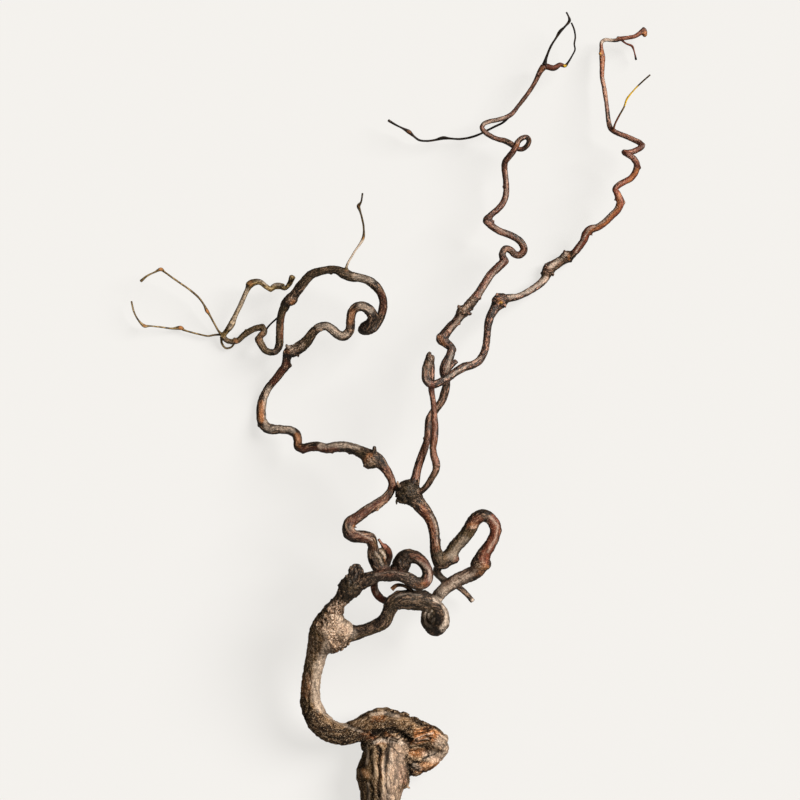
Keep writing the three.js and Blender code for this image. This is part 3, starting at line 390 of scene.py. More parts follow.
# The material slot and the stems of each piece: name, kind of skin, seed, and which ends are sawn flat
# instead of rounded.
PIECES = {
    "trunk": dict(slot="bark", stems=[
        ("stump", "trunk", 1, "start"), ("lower_arm", "trunk", 2, ""), ("upper_arm", "bole", 3, ""),
    ]),
    "left_limb": dict(slot="brown_wood", stems=[
        ("left_base", "limb", 4, ""), ("left_winding", "limb", 5, ""), ("left_arch", "limb", 6, ""),
        ("left_tail", "slim", 7, ""), ("dead_stub", "limb", 8, ""), ("spur", "twig", 9, ""),
    ]),
    "right_limb": dict(slot="brown_wood", stems=[
        ("right_base", "limb", 11, ""), ("right_curl", "limb", 12, ""), ("right_rise", "limb", 13, ""),
        ("dead_twig", "twig", 14, "end"),
    ]),
    "middle_limb": dict(slot="red_wood", stems=[
        ("middle", "slim", 15, ""), ("cut_stub", "twig", 16, "end"),
    ]),
    "outer_limb": dict(slot="red_wood", stems=[
        ("outer_stem", "slim", 19, ""), ("outer", "slim", 20, ""), ("outer_tail", "slim", 21, ""),
    ]),
    "red_shoot": dict(slot="red_wood", stems=[("red", "slim", 26, ""), ("red_spur", "twig", 27, "")]),
    "short_shoot": dict(slot="brown_wood", stems=[("short", "slim", 24, "end")]),
    "arch_twig": dict(slot="olive_twig", stems=[("arch", "twig", 28, "")]),
    "hidden_twig": dict(slot="dark_twig", stems=[("hidden", "twig", 29, "")]),
    "left_end_shoot": dict(slot="olive_twig", stems=[("end_shoot", "slim", 25, "")]),
    "upper_left_twig": dict(slot="olive_twig", stems=[("upper_left", "twig", 30, "")]),
    "lower_left_twig": dict(slot="olive_twig", stems=[("lower_left", "twig", 31, "")]),
    "left_hook_twig": dict(slot="olive_twig", stems=[("hook", "twig", 32, "")]),
    "crossing_twig": dict(slot="dark_twig", stems=[("crossing", "twig", 33, "")]),
    "top_twig": dict(slot="dark_twig", stems=[("top", "twig", 34, "")]),
    "top_side_twig": dict(slot="dark_twig", stems=[("top_side", "twig", 35, "")]),
    "yellow_twig": dict(slot="olive_twig", stems=[("yellow", "twig", 36, "")]),
    "end_twiglet": dict(slot="dark_twig", stems=[("twiglet", "twig", 37, "")]),
}

# Stems that grow from one another, and how far in millimetres the fork is rounded.
FORKS = [
    ("stump", "upper_arm", 3), ("stump", "lower_arm", 5), ("lower_arm", "upper_arm", 6),
    ("left_base", "upper_arm", 9), ("right_base", "upper_arm", 9), ("left_winding", "left_base", 5),
    ("left_arch", "left_winding", 3), ("left_tail", "left_arch", 2), ("dead_stub", "left_base", 6),
    ("spur", "left_winding", 3), ("right_curl", "right_base", 4), ("right_rise", "right_curl", 5),
    ("dead_twig", "right_base", 3), ("middle", "right_rise", 6), ("outer_stem", "right_rise", 5),
    ("cut_stub", "middle", 3), ("outer", "outer_stem", 2), ("outer_tail", "outer", 2),
    ("red", "right_base", 4), ("red_spur", "red", 2), ("short", "right_rise", 4), ("arch", "left_arch", 3),
    ("hidden", "left_arch", 2), ("end_shoot", "left_tail", 2), ("upper_left", "end_shoot", 2),
    ("lower_left", "left_tail", 2), ("hook", "left_tail", 1.5), ("crossing", "middle", 2),
    ("top", "middle", 2), ("top_side", "middle", 2), ("yellow", "outer_tail", 2),
    ("twiglet", "outer_tail", 1.5),
]

# Lines on the upper side of a stem or lump: depth in millimetres (below zero stands out), width, and points.
MARKS = {
    "stump": [
        (2.6, 1.5, (389, 742), (387, 757), (385, 770), (385.5, 785), (388, 792), (389, 812)),
        (2.0, 1.7, (380, 750), (377.5, 762), (379.5, 774), (377.5, 786), (379, 802)),
        (1.5, 0.8, (388, 758), (392, 763), (396, 768), (397, 777), (394, 786)),
        (1.2, 0.8, (396, 746), (399, 757), (398, 770), (401, 784)),
        (1.0, 0.7, (389, 771), (395, 777), (402, 779)), (0.9, 0.6, (391, 750), (397, 753), (402, 750)),
        (1.6, 1.0, (372, 747), (368.5, 757), (373, 768), (371, 774)),
        (1.5, 1.0, (369, 781), (373, 791), (371, 800), (374, 812)),
        (1.3, 0.8, (365, 755), (363, 764), (359.5, 768)),
        (1.3, 0.8, (361, 781), (366, 780), (367, 790), (365, 800)),
        (-1.5, 1.8, (384, 755), (381.5, 766), (384, 780), (382.5, 796)),
        (-1.9, 2.8, (362.5, 771), (366.5, 775)), (1.0, 0.6, (391, 782), (398, 788), (403, 786)),
        (0.9, 0.6, (390, 764), (396, 760), (403, 763)), (-1.2, 1.8, (374, 752), (375, 764), (376, 776)),
        (2.0, 1.6, (377, 746), (380, 750)), (-1.6, 1.4, (374, 742), (380, 740), (386, 739.5)),
        (-1.6, 1.5, (391, 740), (397, 739.5), (403, 742.5)), (1.3, 0.8, (401, 786), (396, 793), (397, 806)),
    ],
    "lower_arm": [
        (2.6, 1.6, (405, 757), (408, 766), (411, 775), (412, 782)),
        (1.6, 1.2, (405, 746), (414, 747.5), (424, 746), (431, 749)),
        (1.4, 1.3, (409, 759), (414, 762), (421, 763)), (1.2, 1.0, (412, 768), (417, 771), (424, 772)),
        (-1.3, 2.4, (421, 766), (429, 764), (437, 761)), (1.0, 0.8, (425, 757), (434, 755), (441, 749)),
        (1.1, 0.9, (437, 740), (442, 746), (441, 754)),
    ],
    "upper_arm": [
        (2.2, 1.4, (431, 738), (421, 740), (411, 740), (402, 738)),
        (1.5, 1.0, (430, 740), (421, 743), (412, 742), (404, 745)),
        (1.7, 1.2, (428, 724), (418, 722), (411, 717), (404, 714), (394, 712), (385, 713)),
        (1.6, 1.4, (404, 724), (395, 727), (388, 731), (379, 733), (371, 738)),
        (1.3, 0.9, (411, 726), (405, 732), (398, 736), (391, 737)),
        (-1.2, 2.0, (385, 731), (392, 734), (398, 737)),
        (1.4, 1.1, (384, 716), (377, 721), (370, 722), (363, 727), (355, 729)),
        (1.2, 0.9, (376, 732), (368, 731), (361, 735), (352, 739)),
        (1.3, 1.0, (349, 726), (341, 731), (331, 729), (322, 722)),
        (1.1, 0.9, (352, 737), (340, 740), (328, 738)),
        (1.3, 1.0, (306, 716), (309, 706), (308, 694), (311, 684), (309, 672)),
        (1.0, 0.8, (304, 700), (303, 690), (305, 680)), (0.9, 0.8, (313, 700), (312, 691), (315, 683)),
        (2.4, 1.4, (347, 724), (354, 727), (362, 731), (370, 736), (373, 741)),
        (4.0, 2.6, (372, 733), (381, 733), (391, 731.5), (400, 733), (408, 740)),
        (0.9, 0.5, (373, 722), (377, 714.5)), (0.9, 0.5, (376.5, 722.5), (380.5, 715)),
        (0.9, 0.5, (380, 722.5), (384, 716)), (2.4, 0.7, (415, 741.5), (424, 737.5), (434, 735.5)),
        (2.2, 0.7, (410, 744), (420, 742), (431, 739)), (2.4, 0.7, (413, 737), (421, 733), (430, 729.5)),
        (2.0, 0.7, (417, 731.5), (425, 728), (432, 726.5)), (1.6, 0.6, (421, 741), (424, 738)),
        (1.6, 0.6, (426, 733), (429, 730)), (-1.3, 1.3, (415, 739), (423, 735), (432, 732.5)),
        (-1.2, 1.3, (413, 742.5), (422, 739.5), (432, 737)),
    ],
    "trunk_lump_10": [
        (1.3, 0.7, (405, 745), (414, 742.5), (424, 741)), (1.4, 0.9, (407, 748), (416, 746.5), (426, 746)),
        (1.1, 0.6, (410, 751), (418, 750), (426, 750)),
    ],
    "right_base": [
        (1.0, 0.9, (421, 604), (430, 607), (435, 612), (436.5, 619), (434.5, 627)),
        (0.8, 0.8, (398, 603), (404, 607), (412, 606), (420, 608)),
    ],
    "right_curl": [
        (0.8, 0.8, (434.5, 617), (434, 612), (430, 610.5), (426.5, 613.5), (426, 619), (429.5, 623),
         (434, 623)), (0.7, 0.7, (431.5, 617.5), (431.5, 614.5), (429, 615), (429, 618.5), (431.5, 620)),
    ],
    "left_base": [
        (0.9, 0.8, (398, 560), (396.5, 566), (399, 572), (405, 573.5)),
        (0.8, 0.7, (402, 561), (401.5, 566.5), (405, 570)),
        (1.1, 0.9, (344, 604), (350, 597), (355, 590), (364, 585)),
        (0.9, 0.8, (338, 603), (344, 595), (349, 586)),
    ],
}

# Where the bark of a piece crumbles: height and size of its flakes, reach, and the points of a line.
FLAKING = {
    "trunk": [
        (1.5, 2.6, 8, (366, 743), (380, 741), (402, 743)), (0.8, 2.6, 12, (394, 752), (398, 790)),
        (1.9, 3.0, 12, (414, 730), (428, 733), (437, 739)), (1.3, 3.0, 8, (378, 733), (396, 728)),
        (1.3, 2.4, 5, (386, 712), (404, 713), (418, 720), (432, 728)),
        (1.7, 2.4, 17, (412, 772), (426, 770), (440, 757)), (0.9, 2.0, 9, (440, 742), (447, 751)),
        (1.0, 2.6, 8, (304, 712), (303, 690), (306, 665)), (0.8, 1.3, 20, (325, 630), (336, 632)),
        (2.2, 2.2, 10, (331, 652), (346, 643)), (1.2, 2.0, 7, (334, 641), (342, 633)),
        (0.6, 1.5, 15, (318, 725), (309, 712), (309, 690), (314, 665), (322, 645)),
        (0.5, 1.5, 14, (330, 736), (350, 736), (368, 731), (390, 722)),
        (1.7, 2.0, 10, (322, 622), (335, 612)),
    ],
    "left_limb": [
        (1.9, 2.2, 14, (332, 612), (346, 596), (355, 586)), (2.2, 2.1, 11, (354, 580), (356, 565)),
        (0.9, 2.4, 10, (380, 554), (383, 567)), (0.7, 1.8, 8, (370, 459)), (0.8, 1.8, 8, (291, 350)),
        (0.6, 1.8, 6, (291, 301)),
    ],
    "right_limb": [
        (1.8, 2.4, 13, (409, 491), (401, 497)), (0.9, 2.0, 8, (482, 563)), (0.7, 2.0, 6, (453, 560)),
    ],
    "middle_limb": [
        (0.7, 1.8, 7, (443, 340)), (0.8, 1.8, 8, (463, 311), (474, 302)),
    ],
    "outer_limb": [
        (1.0, 1.8, 8, (499, 301)), (0.7, 1.6, 7, (550, 269)), (0.7, 1.6, 7, (568, 256)),
        (0.7, 1.4, 6, (644, 33)), (0.9, 1.6, 8, (430, 358)),
    ],
}

# Splinters and loose flakes that stand off the bark of a piece, each as a short route.
SPLINTERS = [
    ("trunk", [
        ((369, 746, 34, 1.9), (375, 741.5, 38, 1.9), (381, 737.5, 41, 0.9)),
        ((386, 743, 33, 2.2), (388, 738.5, 36, 1.5), (391, 736, 37, 0.7)),
        ((398, 743, 34, 2.2), (400, 739.5, 36, 1.4), (403, 738, 37, 0.7)),
        ((402, 781, 28, 2.4), (406, 785.5, 27, 1.8), (409.5, 788, 26, 0.8)),
        ((384, 713.5, 33, 1.8), (390, 710.5, 34, 1.5), (396, 710.5, 34, 0.7)),
        ((398, 714.5, 34, 2), (404, 713.5, 35, 1.5), (409, 715, 35, 0.7)),
        ((410, 718.5, 32, 2), (416, 718.5, 33, 1.5), (421, 720.5, 33, 0.7)),
        ((423, 724.5, 30, 2), (428, 725, 30, 1.4), (433, 728.5, 29, 0.8)),
        ((414, 733, 39, 1.8), (421, 731, 38, 1.8), (427, 733, 36, 0.8)),
        ((418, 739, 35, 1.6), (426, 738, 34, 1.6), (432, 741, 32, 0.8)),
        ((334, 648, 74, 2.6), (333, 651.5, 73, 2.2), (331, 653.5, 72, 1.2)),
        ((341, 644, 76, 2.6), (342, 648, 75, 2.2), (340.5, 650.5, 74, 1.2)),
        ((348, 640, 76, 2.4), (348.5, 643.5, 75, 1.8), (346.5, 645.5, 74, 1)),
        ((303, 695, 44, 2), (301, 700, 43, 1.5), (301.5, 706, 42, 0.8)),
        ((324, 617, 76, 2), (323.5, 613, 76, 1.3), (325, 610.5, 76, 0.7)),
    ]),
    ("left_limb", [
        ((353.4, 574, 88, 5), (352.8, 570.5, 88, 4.6), (353.4, 567.5, 88, 3.2)),
        ((358.6, 575, 88, 4.8), (359.8, 571, 88, 4.2), (359.6, 568, 88, 2.8)),
        ((361, 578, 91, 3), (363, 575, 91, 2.2), (363, 572.6, 91, 1.2)),
        ((349, 580, 91, 3), (346.6, 577.6, 92, 2), (346.6, 575.4, 92, 1.1)),
        ((342, 595, 90, 2.4), (339, 591.5, 91, 1.6), (338.5, 588.5, 91, 0.8)),
    ]),
    ("right_limb", [
        ((401, 488, 86, 2.2), (398, 484.5, 87, 1.5), (397.6, 481.5, 87, 0.8)),
        ((399, 499, 84, 2.2), (396.4, 501.5, 84, 1.5), (396.6, 504, 83, 0.8)),
        ((416, 484, 86, 2), (418.6, 481.6, 87, 1.4), (418.4, 479, 87, 0.8)),
    ]),
    ("outer_limb", [
        ((498, 298, 40, 2.4), (497, 295, 41, 1.8), (497.2, 293.4, 41, 1)),
        ((497, 301, 40, 2.4), (494, 301, 41, 1.8), (492.4, 300.4, 41, 1)),
        ((502, 303, 40, 2.4), (504.6, 305.6, 40, 1.8), (505.2, 307, 39, 1)),
        ((498, 304, 40, 2.4), (496.8, 306.6, 40, 1.8), (497.2, 308, 39, 1)),
        ((548, 267, 8, 2.2), (545.8, 265.2, 9, 1.6), (545.4, 263.8, 9, 0.9)),
        ((551, 272, 8, 2.2), (552.8, 274.4, 8, 1.6), (552.8, 275.8, 8, 0.9)),
        ((565.6, 254, 11, 2.2), (564.4, 251.8, 12, 1.6), (564.6, 250.4, 12, 0.9)),
        ((428.6, 357, 102, 2.6), (429, 354.6, 102, 2.4), (430, 352.8, 101, 1.6)),
    ]),
    ("middle_limb", [
        ((461, 309, 66, 2.4), (458.8, 306.8, 67, 1.8), (458.6, 305.4, 67, 1)),
        ((467, 312.6, 66, 2.4), (470, 313.8, 66, 1.8), (471.4, 313.4, 66, 1)),
        ((441, 337, 64, 2), (439, 335, 65, 1.5), (438.8, 333.8, 65, 0.8)),
    ]),
    ("left_limb", [
        ((289, 348, 39, 2.2), (286.8, 346, 40, 1.6), (286.6, 344.6, 40, 0.9)),
        ((296, 353, 38, 2.2), (298, 355.2, 38, 1.6), (298.2, 356.6, 37, 0.9)),
        ((294, 298, 37, 2), (296.4, 296.6, 38, 1.5), (297.8, 296.8, 38, 0.8)),
        ((367, 463.4, 77, 2.2), (364.6, 465, 77, 1.6), (364, 466.6, 76, 0.9)),
    ]),
]

# Buds, nubs and thorns on a stem: across, down, width, height and sharpness.
BUDS = {
    "left_winding": [
        (355, 527, 2.0, 2.6, 0.7), (377, 510, 1.8, 1.5, 1.0), (291, 366, 1.6, 1.4, 1.0),
        (288, 350, 2.0, 1.6, 1.0), (322, 330, 1.5, 1.2, 1.0), (349, 455, 2.0, 1.2, 1.0),
        (303, 453, 1.8, 1.1, 1.0), (258, 426, 1.6, 1.2, 1.0), (341, 540, 2.0, 1.1, 1.0),
        (365, 541.5, 1.8, 1.3, 0.8), (396, 486, 1.4, 1.2, 0.8), (333, 454, 1.5, 1.1, 0.8),
    ],
    "left_arch": [
        (346.5, 268.5, 1.8, 1.2, 1.0), (292, 303, 2.2, 2.0, 0.8), (304, 288, 1.6, 1.2, 1.0),
        (275, 354, 1.6, 1.2, 1.0), (386, 307, 1.4, 1.1, 0.8), (331, 274, 1.5, 1.1, 1.0),
    ],
    "left_tail": [
        (236, 343, 1.5, 1.2, 1.0), (234, 337, 1.4, 1.4, 0.8), (263, 325, 1.6, 1.1, 1.0),
        (246, 330, 1.2, 1.0, 0.8),
    ],
    "left_base": [
        (385, 582, 1.8, 1.0, 1.0), (393, 567, 1.3, 2.2, 0.6), (421, 590, 2.2, 1.1, 1.0),
        (399, 560, 2.0, 1.2, 1.0), (330, 607, 1.8, 1.3, 1.0), (343, 610, 2.2, 1.2, 1.0),
    ],
    "right_base": [
        (350, 640, 2.2, 1.4, 1.0), (397, 592, 2.2, 1.5, 1.0), (424, 591, 2.4, 1.3, 1.0),
        (383, 612, 2.0, 1.0, 1.0),
    ],
    "right_curl": [
        (487, 563, 2.0, 1.6, 1.0), (473, 527, 2.0, 1.0, 1.0), (460, 585, 2.0, 1.1, 1.0),
        (501, 531, 1.8, 1.0, 1.0),
    ],
    "right_rise": [
        (397, 484, 1.8, 1.2, 0.9), (429, 509, 1.8, 1.2, 0.9), (440, 540, 1.4, 1.1, 0.9),
        (426, 521, 1.4, 1.2, 0.8),
    ],
    "middle": [
        (460, 307, 1.5, 1.7, 0.8), (473, 310, 1.6, 1.6, 0.8), (481, 299, 1.5, 1.5, 0.8),
        (486, 223, 1.6, 1.3, 1.0), (493, 222, 1.5, 1.8, 0.8), (460.5, 325, 1.2, 2.0, 0.6),
        (516.5, 144, 1.3, 1.0, 1.0), (423, 438, 1.4, 1.0, 0.9), (449, 375, 1.5, 1.1, 0.9),
        (438, 338, 1.5, 1.2, 0.9), (456, 350, 1.4, 1.0, 0.9), (508, 262, 1.3, 1.1, 0.9),
        (526, 247, 1.4, 1.2, 0.9), (501, 187, 1.2, 1.0, 0.9), (538, 74, 1.4, 1.2, 0.9),
        (434, 408, 1.5, 1.0, 0.9),
    ],
    "outer_stem": [
        (439, 466, 1.4, 1.0, 0.9), (430, 448, 1.3, 1.0, 0.9),
    ],
    "outer": [
        (503, 293, 1.6, 1.5, 0.9), (540, 273, 1.6, 1.7, 0.8), (551, 273, 1.5, 1.6, 0.8),
        (571, 261, 1.5, 1.5, 0.8), (564, 252, 1.5, 1.4, 0.8), (592, 235, 1.3, 2.2, 0.6),
        (614, 200, 1.3, 2.2, 0.6), (624, 203, 1.5, 1.2, 0.9), (487, 350, 1.4, 1.1, 0.9),
        (447, 374, 1.4, 1.0, 0.9), (423, 368, 1.4, 1.0, 0.9), (640, 168, 1.4, 1.1, 0.9),
    ],
    "outer_tail": [
        (600, 54, 1.6, 1.4, 0.9), (617, 36, 1.5, 1.3, 0.9), (607, 112, 1.2, 0.9, 0.9),
        (644, 146, 1.3, 1.1, 0.9), (601, 66, 1.3, 0.9, 0.9), (605, 41, 1.1, 1.0, 0.9),
    ],
    "end_shoot": [
        (232, 322, 1.6, 1.3, 0.9), (248, 283, 1.7, 1.3, 0.9), (270, 291, 1.4, 1.2, 0.8),
        (284, 285, 1.3, 1.0, 0.9),
    ],
    "short": [
        (441, 581, 1.4, 1.0, 0.9),
    ],
    "red": [
        (372, 588, 1.4, 0.8, 1.0),
    ],
}

# Patches of colour on a piece: strength, reach, and the points of a line. They are painted over the streaks
# of the wood. Even bark is worn smooth, and crumbly bark is in grains.
# Some pale patches are painted highlights and some dark ones painted shade, as marked below; the rest is the
# bark's own colour.
PATCHES = {
    ("trunk", "pale"): [
        (0.55, 15, (398, 745), (398, 760), (396, 775), (394, 790), (395, 830)),
        (0.9, 2.2, (389.5, 748), (392, 760), (388.5, 772), (388, 790), (390, 812)),
        (0.9, 1.6, (377, 739.5), (386, 738.5), (397, 738), (404, 741)),
        (0.6, 3, (385, 758), (383, 768), (385, 782), (384, 798)),
        (0.6, 2, (366, 748), (368, 757), (366, 764)), (0.5, 2, (368, 784), (369, 796), (367, 812)),
        (0.7, 8, (427, 757), (440, 757)), (0.9, 4, (415, 765), (419, 768)),
        (0.7, 8, (440, 741), (447, 744), (446, 753)), (0.8, 1.6, (415, 739.5), (424, 735.5), (433, 733)),
        (0.7, 1.4, (413, 743), (422, 740), (431, 737.5)), (0.6, 3, (372, 714), (386, 713), (398, 716)),
        (1.2, 3.5, (374, 742), (384, 740.5), (394, 740.5), (402, 743)),
        # Painted highlight along the upper edge of the upper arm where it sweeps round to the left, on the
        # side toward the light.
        (0.7, 2.6, (319, 706), (325, 714), (336, 721), (350, 727), (362, 731)),
        # Painted highlight down the side of the rising trunk that faces the light.
        (0.8, 9, (320, 706), (317, 690), (319, 672), (323, 658), (330, 645)),
        (0.75, 20, (335, 628), (347, 632)),
    ],
    ("trunk", "orange"): [
        (0.3, 15, (398, 745), (398, 760), (396, 790), (395, 830)),
        (0.6, 2, (382, 757), (380.5, 768), (382, 780)), (0.4, 4, (363, 771), (367, 775)),
        (0.8, 6, (412, 753), (423, 753)), (0.7, 8, (421, 768), (438, 763)),
        (1.3, 8, (419, 735), (428, 732), (434, 736)), (1.0, 4, (412, 742), (424, 740)),
        (1.0, 4, (374, 719), (383, 718)), (0.6, 3, (377, 743), (388, 742)),
        (0.8, 3, (386, 733), (392, 737)), (0.7, 5, (362, 737), (372, 736)),
        (0.6, 6, (308, 678), (306, 694)), (1.0, 3.5, (301, 678), (302, 688), (305, 695)),
        (0.8, 4, (343, 628), (345, 630)), (0.7, 8, (336, 645), (342, 651)), (0.6, 3, (317, 622)),
    ],
    ("trunk", "red"): [(0.7, 6, (402, 770), (403, 781)), (0.6, 7, (364, 736), (373, 737))],
    ("trunk", "olive"): [
        (0.8, 10, (369, 745), (367, 765), (368, 785), (368, 830)),
        # Olive down the left side of the rising trunk: partly its bark, partly painted shade.
        (1.0, 14, (303, 715), (304, 690), (307, 665), (311, 640), (314, 625)),
        (0.7, 8, (311, 632), (315, 620), (324, 611)),
    ],
    ("trunk", "dark"): [
        (0.65, 8, (377.5, 750), (377, 775), (377.5, 800), (377, 830)),
        (1.0, 5, (407, 757), (410, 770), (411, 780)), (0.8, 4.5, (405, 747), (420, 746), (431, 746)),
        (0.8, 6, (409, 760), (420, 763)), (0.7, 6, (413, 775), (425, 774)),
        (0.85, 10, (352, 727), (368, 722), (390, 723), (406, 730)),
        (0.9, 4, (386, 711), (404, 713), (418, 720), (431, 728)),
        # Painted shade in the gap under the upper arm, behind the top of the stump.
        (1.3, 6, (409, 737), (400, 731), (385, 730), (374, 733)),
        # These two darken the lower outer side of the sweep: partly its bark, partly painted shade.
        (1.3, 15, (309, 718), (320, 730), (336, 736), (352, 740), (364, 742)),
        (0.9, 15, (303, 716), (314, 734), (330, 743), (348, 747), (366, 746)),
        # Painted shade down the left side of the rising trunk.
        (0.8, 9, (301, 712), (301, 692), (303, 670), (306, 650), (308, 632)),
        (0.9, 1.5, (306, 676), (307, 688), (309, 697)), (0.8, 7, (333, 652), (343, 645)),
        (0.75, 3, (332, 650), (334, 643), (339, 637), (344, 639)),
        (0.6, 2.4, (330, 634), (334, 628), (332, 621)),
        (0.6, 2, (331, 640), (337, 634), (344, 637), (338, 643)),
    ],
    ("trunk", "even"): [
        (0.7, 13, (398, 745), (398, 760), (396, 790), (395, 830)),
        (0.6, 11, (372, 750), (371, 775), (372, 800), (372, 830)), (0.8, 11, (441, 741), (445, 752)),
        (1.0, 16, (362, 727), (374, 724), (390, 721), (408, 728)),
        (1.0, 18, (312, 718), (330, 733), (350, 737)),
        (1.0, 13, (319, 706), (315, 690), (317, 668), (323, 652)),
        (0.9, 12, (304, 710), (303, 690), (305, 668), (310, 650), (313, 635)),
        (1.0, 24, (325, 632), (345, 632)),
    ],
    ("trunk", "crumbly"): [
        (0.35, 9, (440, 741), (445, 750)), (0.8, 9, (319, 628), (328, 617), (335, 645), (347, 642)),
        (0.4, 16, (338, 630)), (0.45, 10, (312, 640), (310, 655)), (0.3, 8, (309, 670), (308, 695)),
        (0.75, 8, (336, 644), (342, 636)),
    ],
    ("left_limb", "pale"): [
        # Painted highlight on the right side of the loop.
        (0.6, 3, (409, 561), (419, 562), (429, 570), (430, 580)),
        (0.5, 1.8, (374, 575), (392, 571), (408, 575)), (0.9, 1.5, (375, 552), (379, 557), (382, 564)),
        (0.9, 1.5, (379, 549), (384, 554), (387, 561)), (0.4, 2, (372, 540), (360, 533), (350, 527)),
        (0.4, 1.8, (366, 507), (384, 495)), (0.7, 5, (357, 447), (338, 445), (322, 446)),
        (0.7, 5, (292, 429), (281, 428), (272, 428)), (0.7, 5, (268, 390), (267, 428)),
        (0.55, 6, (290, 348), (299, 345)), (0.7, 5, (319, 326), (330, 327), (338, 334), (346, 335)),
        (0.5, 4, (360, 305), (371, 311)), (0.5, 4, (372, 281), (355, 276)),
    ],
    ("left_limb", "orange"): [
        (0.6, 4, (416, 585), (424, 584)), (0.6, 1.4, (384, 557), (386, 563)), (0.9, 4.5, (355, 527)),
        (0.7, 5, (370, 456), (366, 460)), (0.6, 4, (299, 445), (297, 436)),
        (0.9, 4.5, (261.5, 420), (261.5, 404)), (1.0, 4, (288, 351)), (0.5, 4, (350, 322), (353, 311)),
        (0.8, 3.5, (346.5, 269)), (1.0, 4.5, (292, 303)), (0.3, 3, (262, 334), (258, 341)),
        (0.6, 3.5, (236, 341)),
    ],
    ("left_limb", "red"): [
        # Red on the right side of the loop: partly its bark, partly painted highlight.
        (0.9, 6, (414, 556), (424, 561), (430, 571), (427, 583)), (0.5, 6, (380, 572), (400, 572)),
        (0.4, 7, (374, 548), (366, 537), (352, 534)), (0.6, 8, (352, 520), (366, 509), (384, 498)),
        (0.6, 9, (391, 486), (387, 471)), (0.6, 6, (335, 449), (318, 450), (303, 450)),
        (0.5, 6, (275, 380), (286, 363)), (0.5, 6, (383, 310), (381, 294)),
        (0.6, 5, (287, 315), (283, 335)),
    ],
    ("left_limb", "olive"): [
        (0.8, 14, (345, 600), (352, 588)), (0.9, 10, (381, 556), (377, 546)),
        (0.6, 8, (371, 462), (360, 454)), (0.6, 8, (300, 346), (312, 333)),
        (0.7, 9, (360, 278), (330, 271), (306, 280)), (0.8, 8, (283, 310), (280, 340)),
        (1.0, 9, (264, 350), (259, 340), (262, 329), (240, 337), (225, 340)),
    ],
    ("left_limb", "dark"): [
        (0.75, 13, (342, 604), (350, 592), (355, 575)),
        (0.8, 9, (350, 601), (362, 590), (375, 584), (392, 582)),
        # Dark on the left of the loop: partly its bark, partly painted shade.
        (1.2, 11, (395, 575), (397, 563), (404, 557), (413, 555)),
        (0.6, 8, (414, 557), (424, 563), (429, 572), (426, 584)),
        # Painted shade inside the loop, beside its hole.
        (1.2, 5, (414, 562), (420, 567), (422, 576), (416, 581)),
        (0.7, 5, (402, 578), (412, 584), (422, 588)),
        (1.1, 10, (364, 581), (385, 577), (403, 579), (417, 586)),
        (0.9, 1.4, (377, 550.5), (381.5, 555.5), (384.5, 563)),
        (0.8, 6, (343, 530), (352, 541), (366, 543), (374, 551)),
        (0.5, 9, (346, 528), (352, 518), (366, 508), (384, 497), (392, 480)),
        (0.6, 8, (368, 327), (376, 325)),
        (0.5, 9, (381, 318), (386, 302), (376, 285), (352, 276), (330, 272), (306, 282)),
    ],
    ("left_limb", "even"): [
        (1.0, 14, (330, 617), (338, 606)), (0.8, 12, (395, 575), (397, 563), (404, 557), (413, 557)),
    ],
    ("left_limb", "crumbly"): [
        (0.9, 11, (330, 617), (338, 606)), (0.5, 6, (369, 460)), (0.6, 6, (292, 350), (300, 345)),
        (0.6, 4, (290, 300)),
    ],
    ("right_limb", "pale"): [
        (0.6, 7, (344, 633), (352, 633)), (0.5, 2, (396, 596), (408, 593), (420, 595)),
        # Painted highlight on the outer band of the curl, on the side toward the light.
        (1.3, 4, (436, 598), (443, 603), (447, 611), (448, 620), (443, 629)),
        (1.0, 1.6, (427, 610), (424.5, 616), (426, 623), (431, 627)),
        (1.0, 1.5, (432, 611), (429, 614), (429, 619), (432, 621.5), (434.5, 618.5)),
        # Pale on the length beside the curl: partly its bark, partly painted light over the shadow that the
        # higher bend of the limb casts there.
        (0.9, 8, (443, 590), (457, 580), (470, 574)), (1.2, 1.8, (441, 593), (455, 582), (470, 575)),
        (0.5, 1.8, (488, 552), (496, 538), (498, 526), (490, 516)), (0.45, 3, (471, 527), (477, 527)),
        (0.35, 6, (464, 540), (452, 556)), (0.4, 1.8, (437, 545), (437, 528), (431, 515)),
    ],
    ("right_limb", "orange"): [
        (0.5, 8, (447, 586), (458, 578), (473, 572)), (0.8, 4.5, (482, 572), (486, 568)),
        (0.7, 4, (470, 525), (477, 527)), (0.4, 1.6, (433, 538), (431, 522), (421, 504)),
        (0.6, 4, (391, 589), (395, 586)),
    ],
    ("right_limb", "red"): [
        (0.6, 4, (445, 585), (457, 576), (472, 569)),
        (1.0, 8, (484, 560), (490, 545), (496, 532), (494, 520)), (0.6, 7, (470, 525), (480, 520)),
        (0.5, 4, (457, 559)), (0.6, 6, (436, 548), (433, 532), (423, 508)),
    ],
    ("right_limb", "olive"): [
        (0.8, 7, (346, 641), (366, 638), (384, 631)), (0.6, 7, (389, 618), (394, 604)),
        (0.9, 9, (429, 613), (430, 624)), (0.6, 9, (408, 603), (424, 603)),
        (1.0, 9, (468, 531), (460, 542), (450, 554)), (0.8, 7, (480, 565)),
        (0.9, 8, (441, 560), (437, 548)), (1.0, 15, (408, 492), (400, 498)),
    ],
    ("right_limb", "dark"): [
        (0.8, 10, (352, 630), (372, 624), (382, 613)),
        (0.8, 12, (388, 614), (396, 602), (412, 600), (422, 602)),
        (0.7, 3, (437, 605), (439, 615), (436, 626), (428, 629)),
        (0.6, 1.2, (445, 586), (457, 577), (472, 569)), (0.6, 6, (438, 562), (437, 552)),
        (1.0, 14, (409, 491), (400, 497)),
    ],
    ("right_limb", "even"): [
        (1.0, 13, (432, 612), (434, 622)), (0.8, 9, (443, 590), (457, 580), (474, 573)),
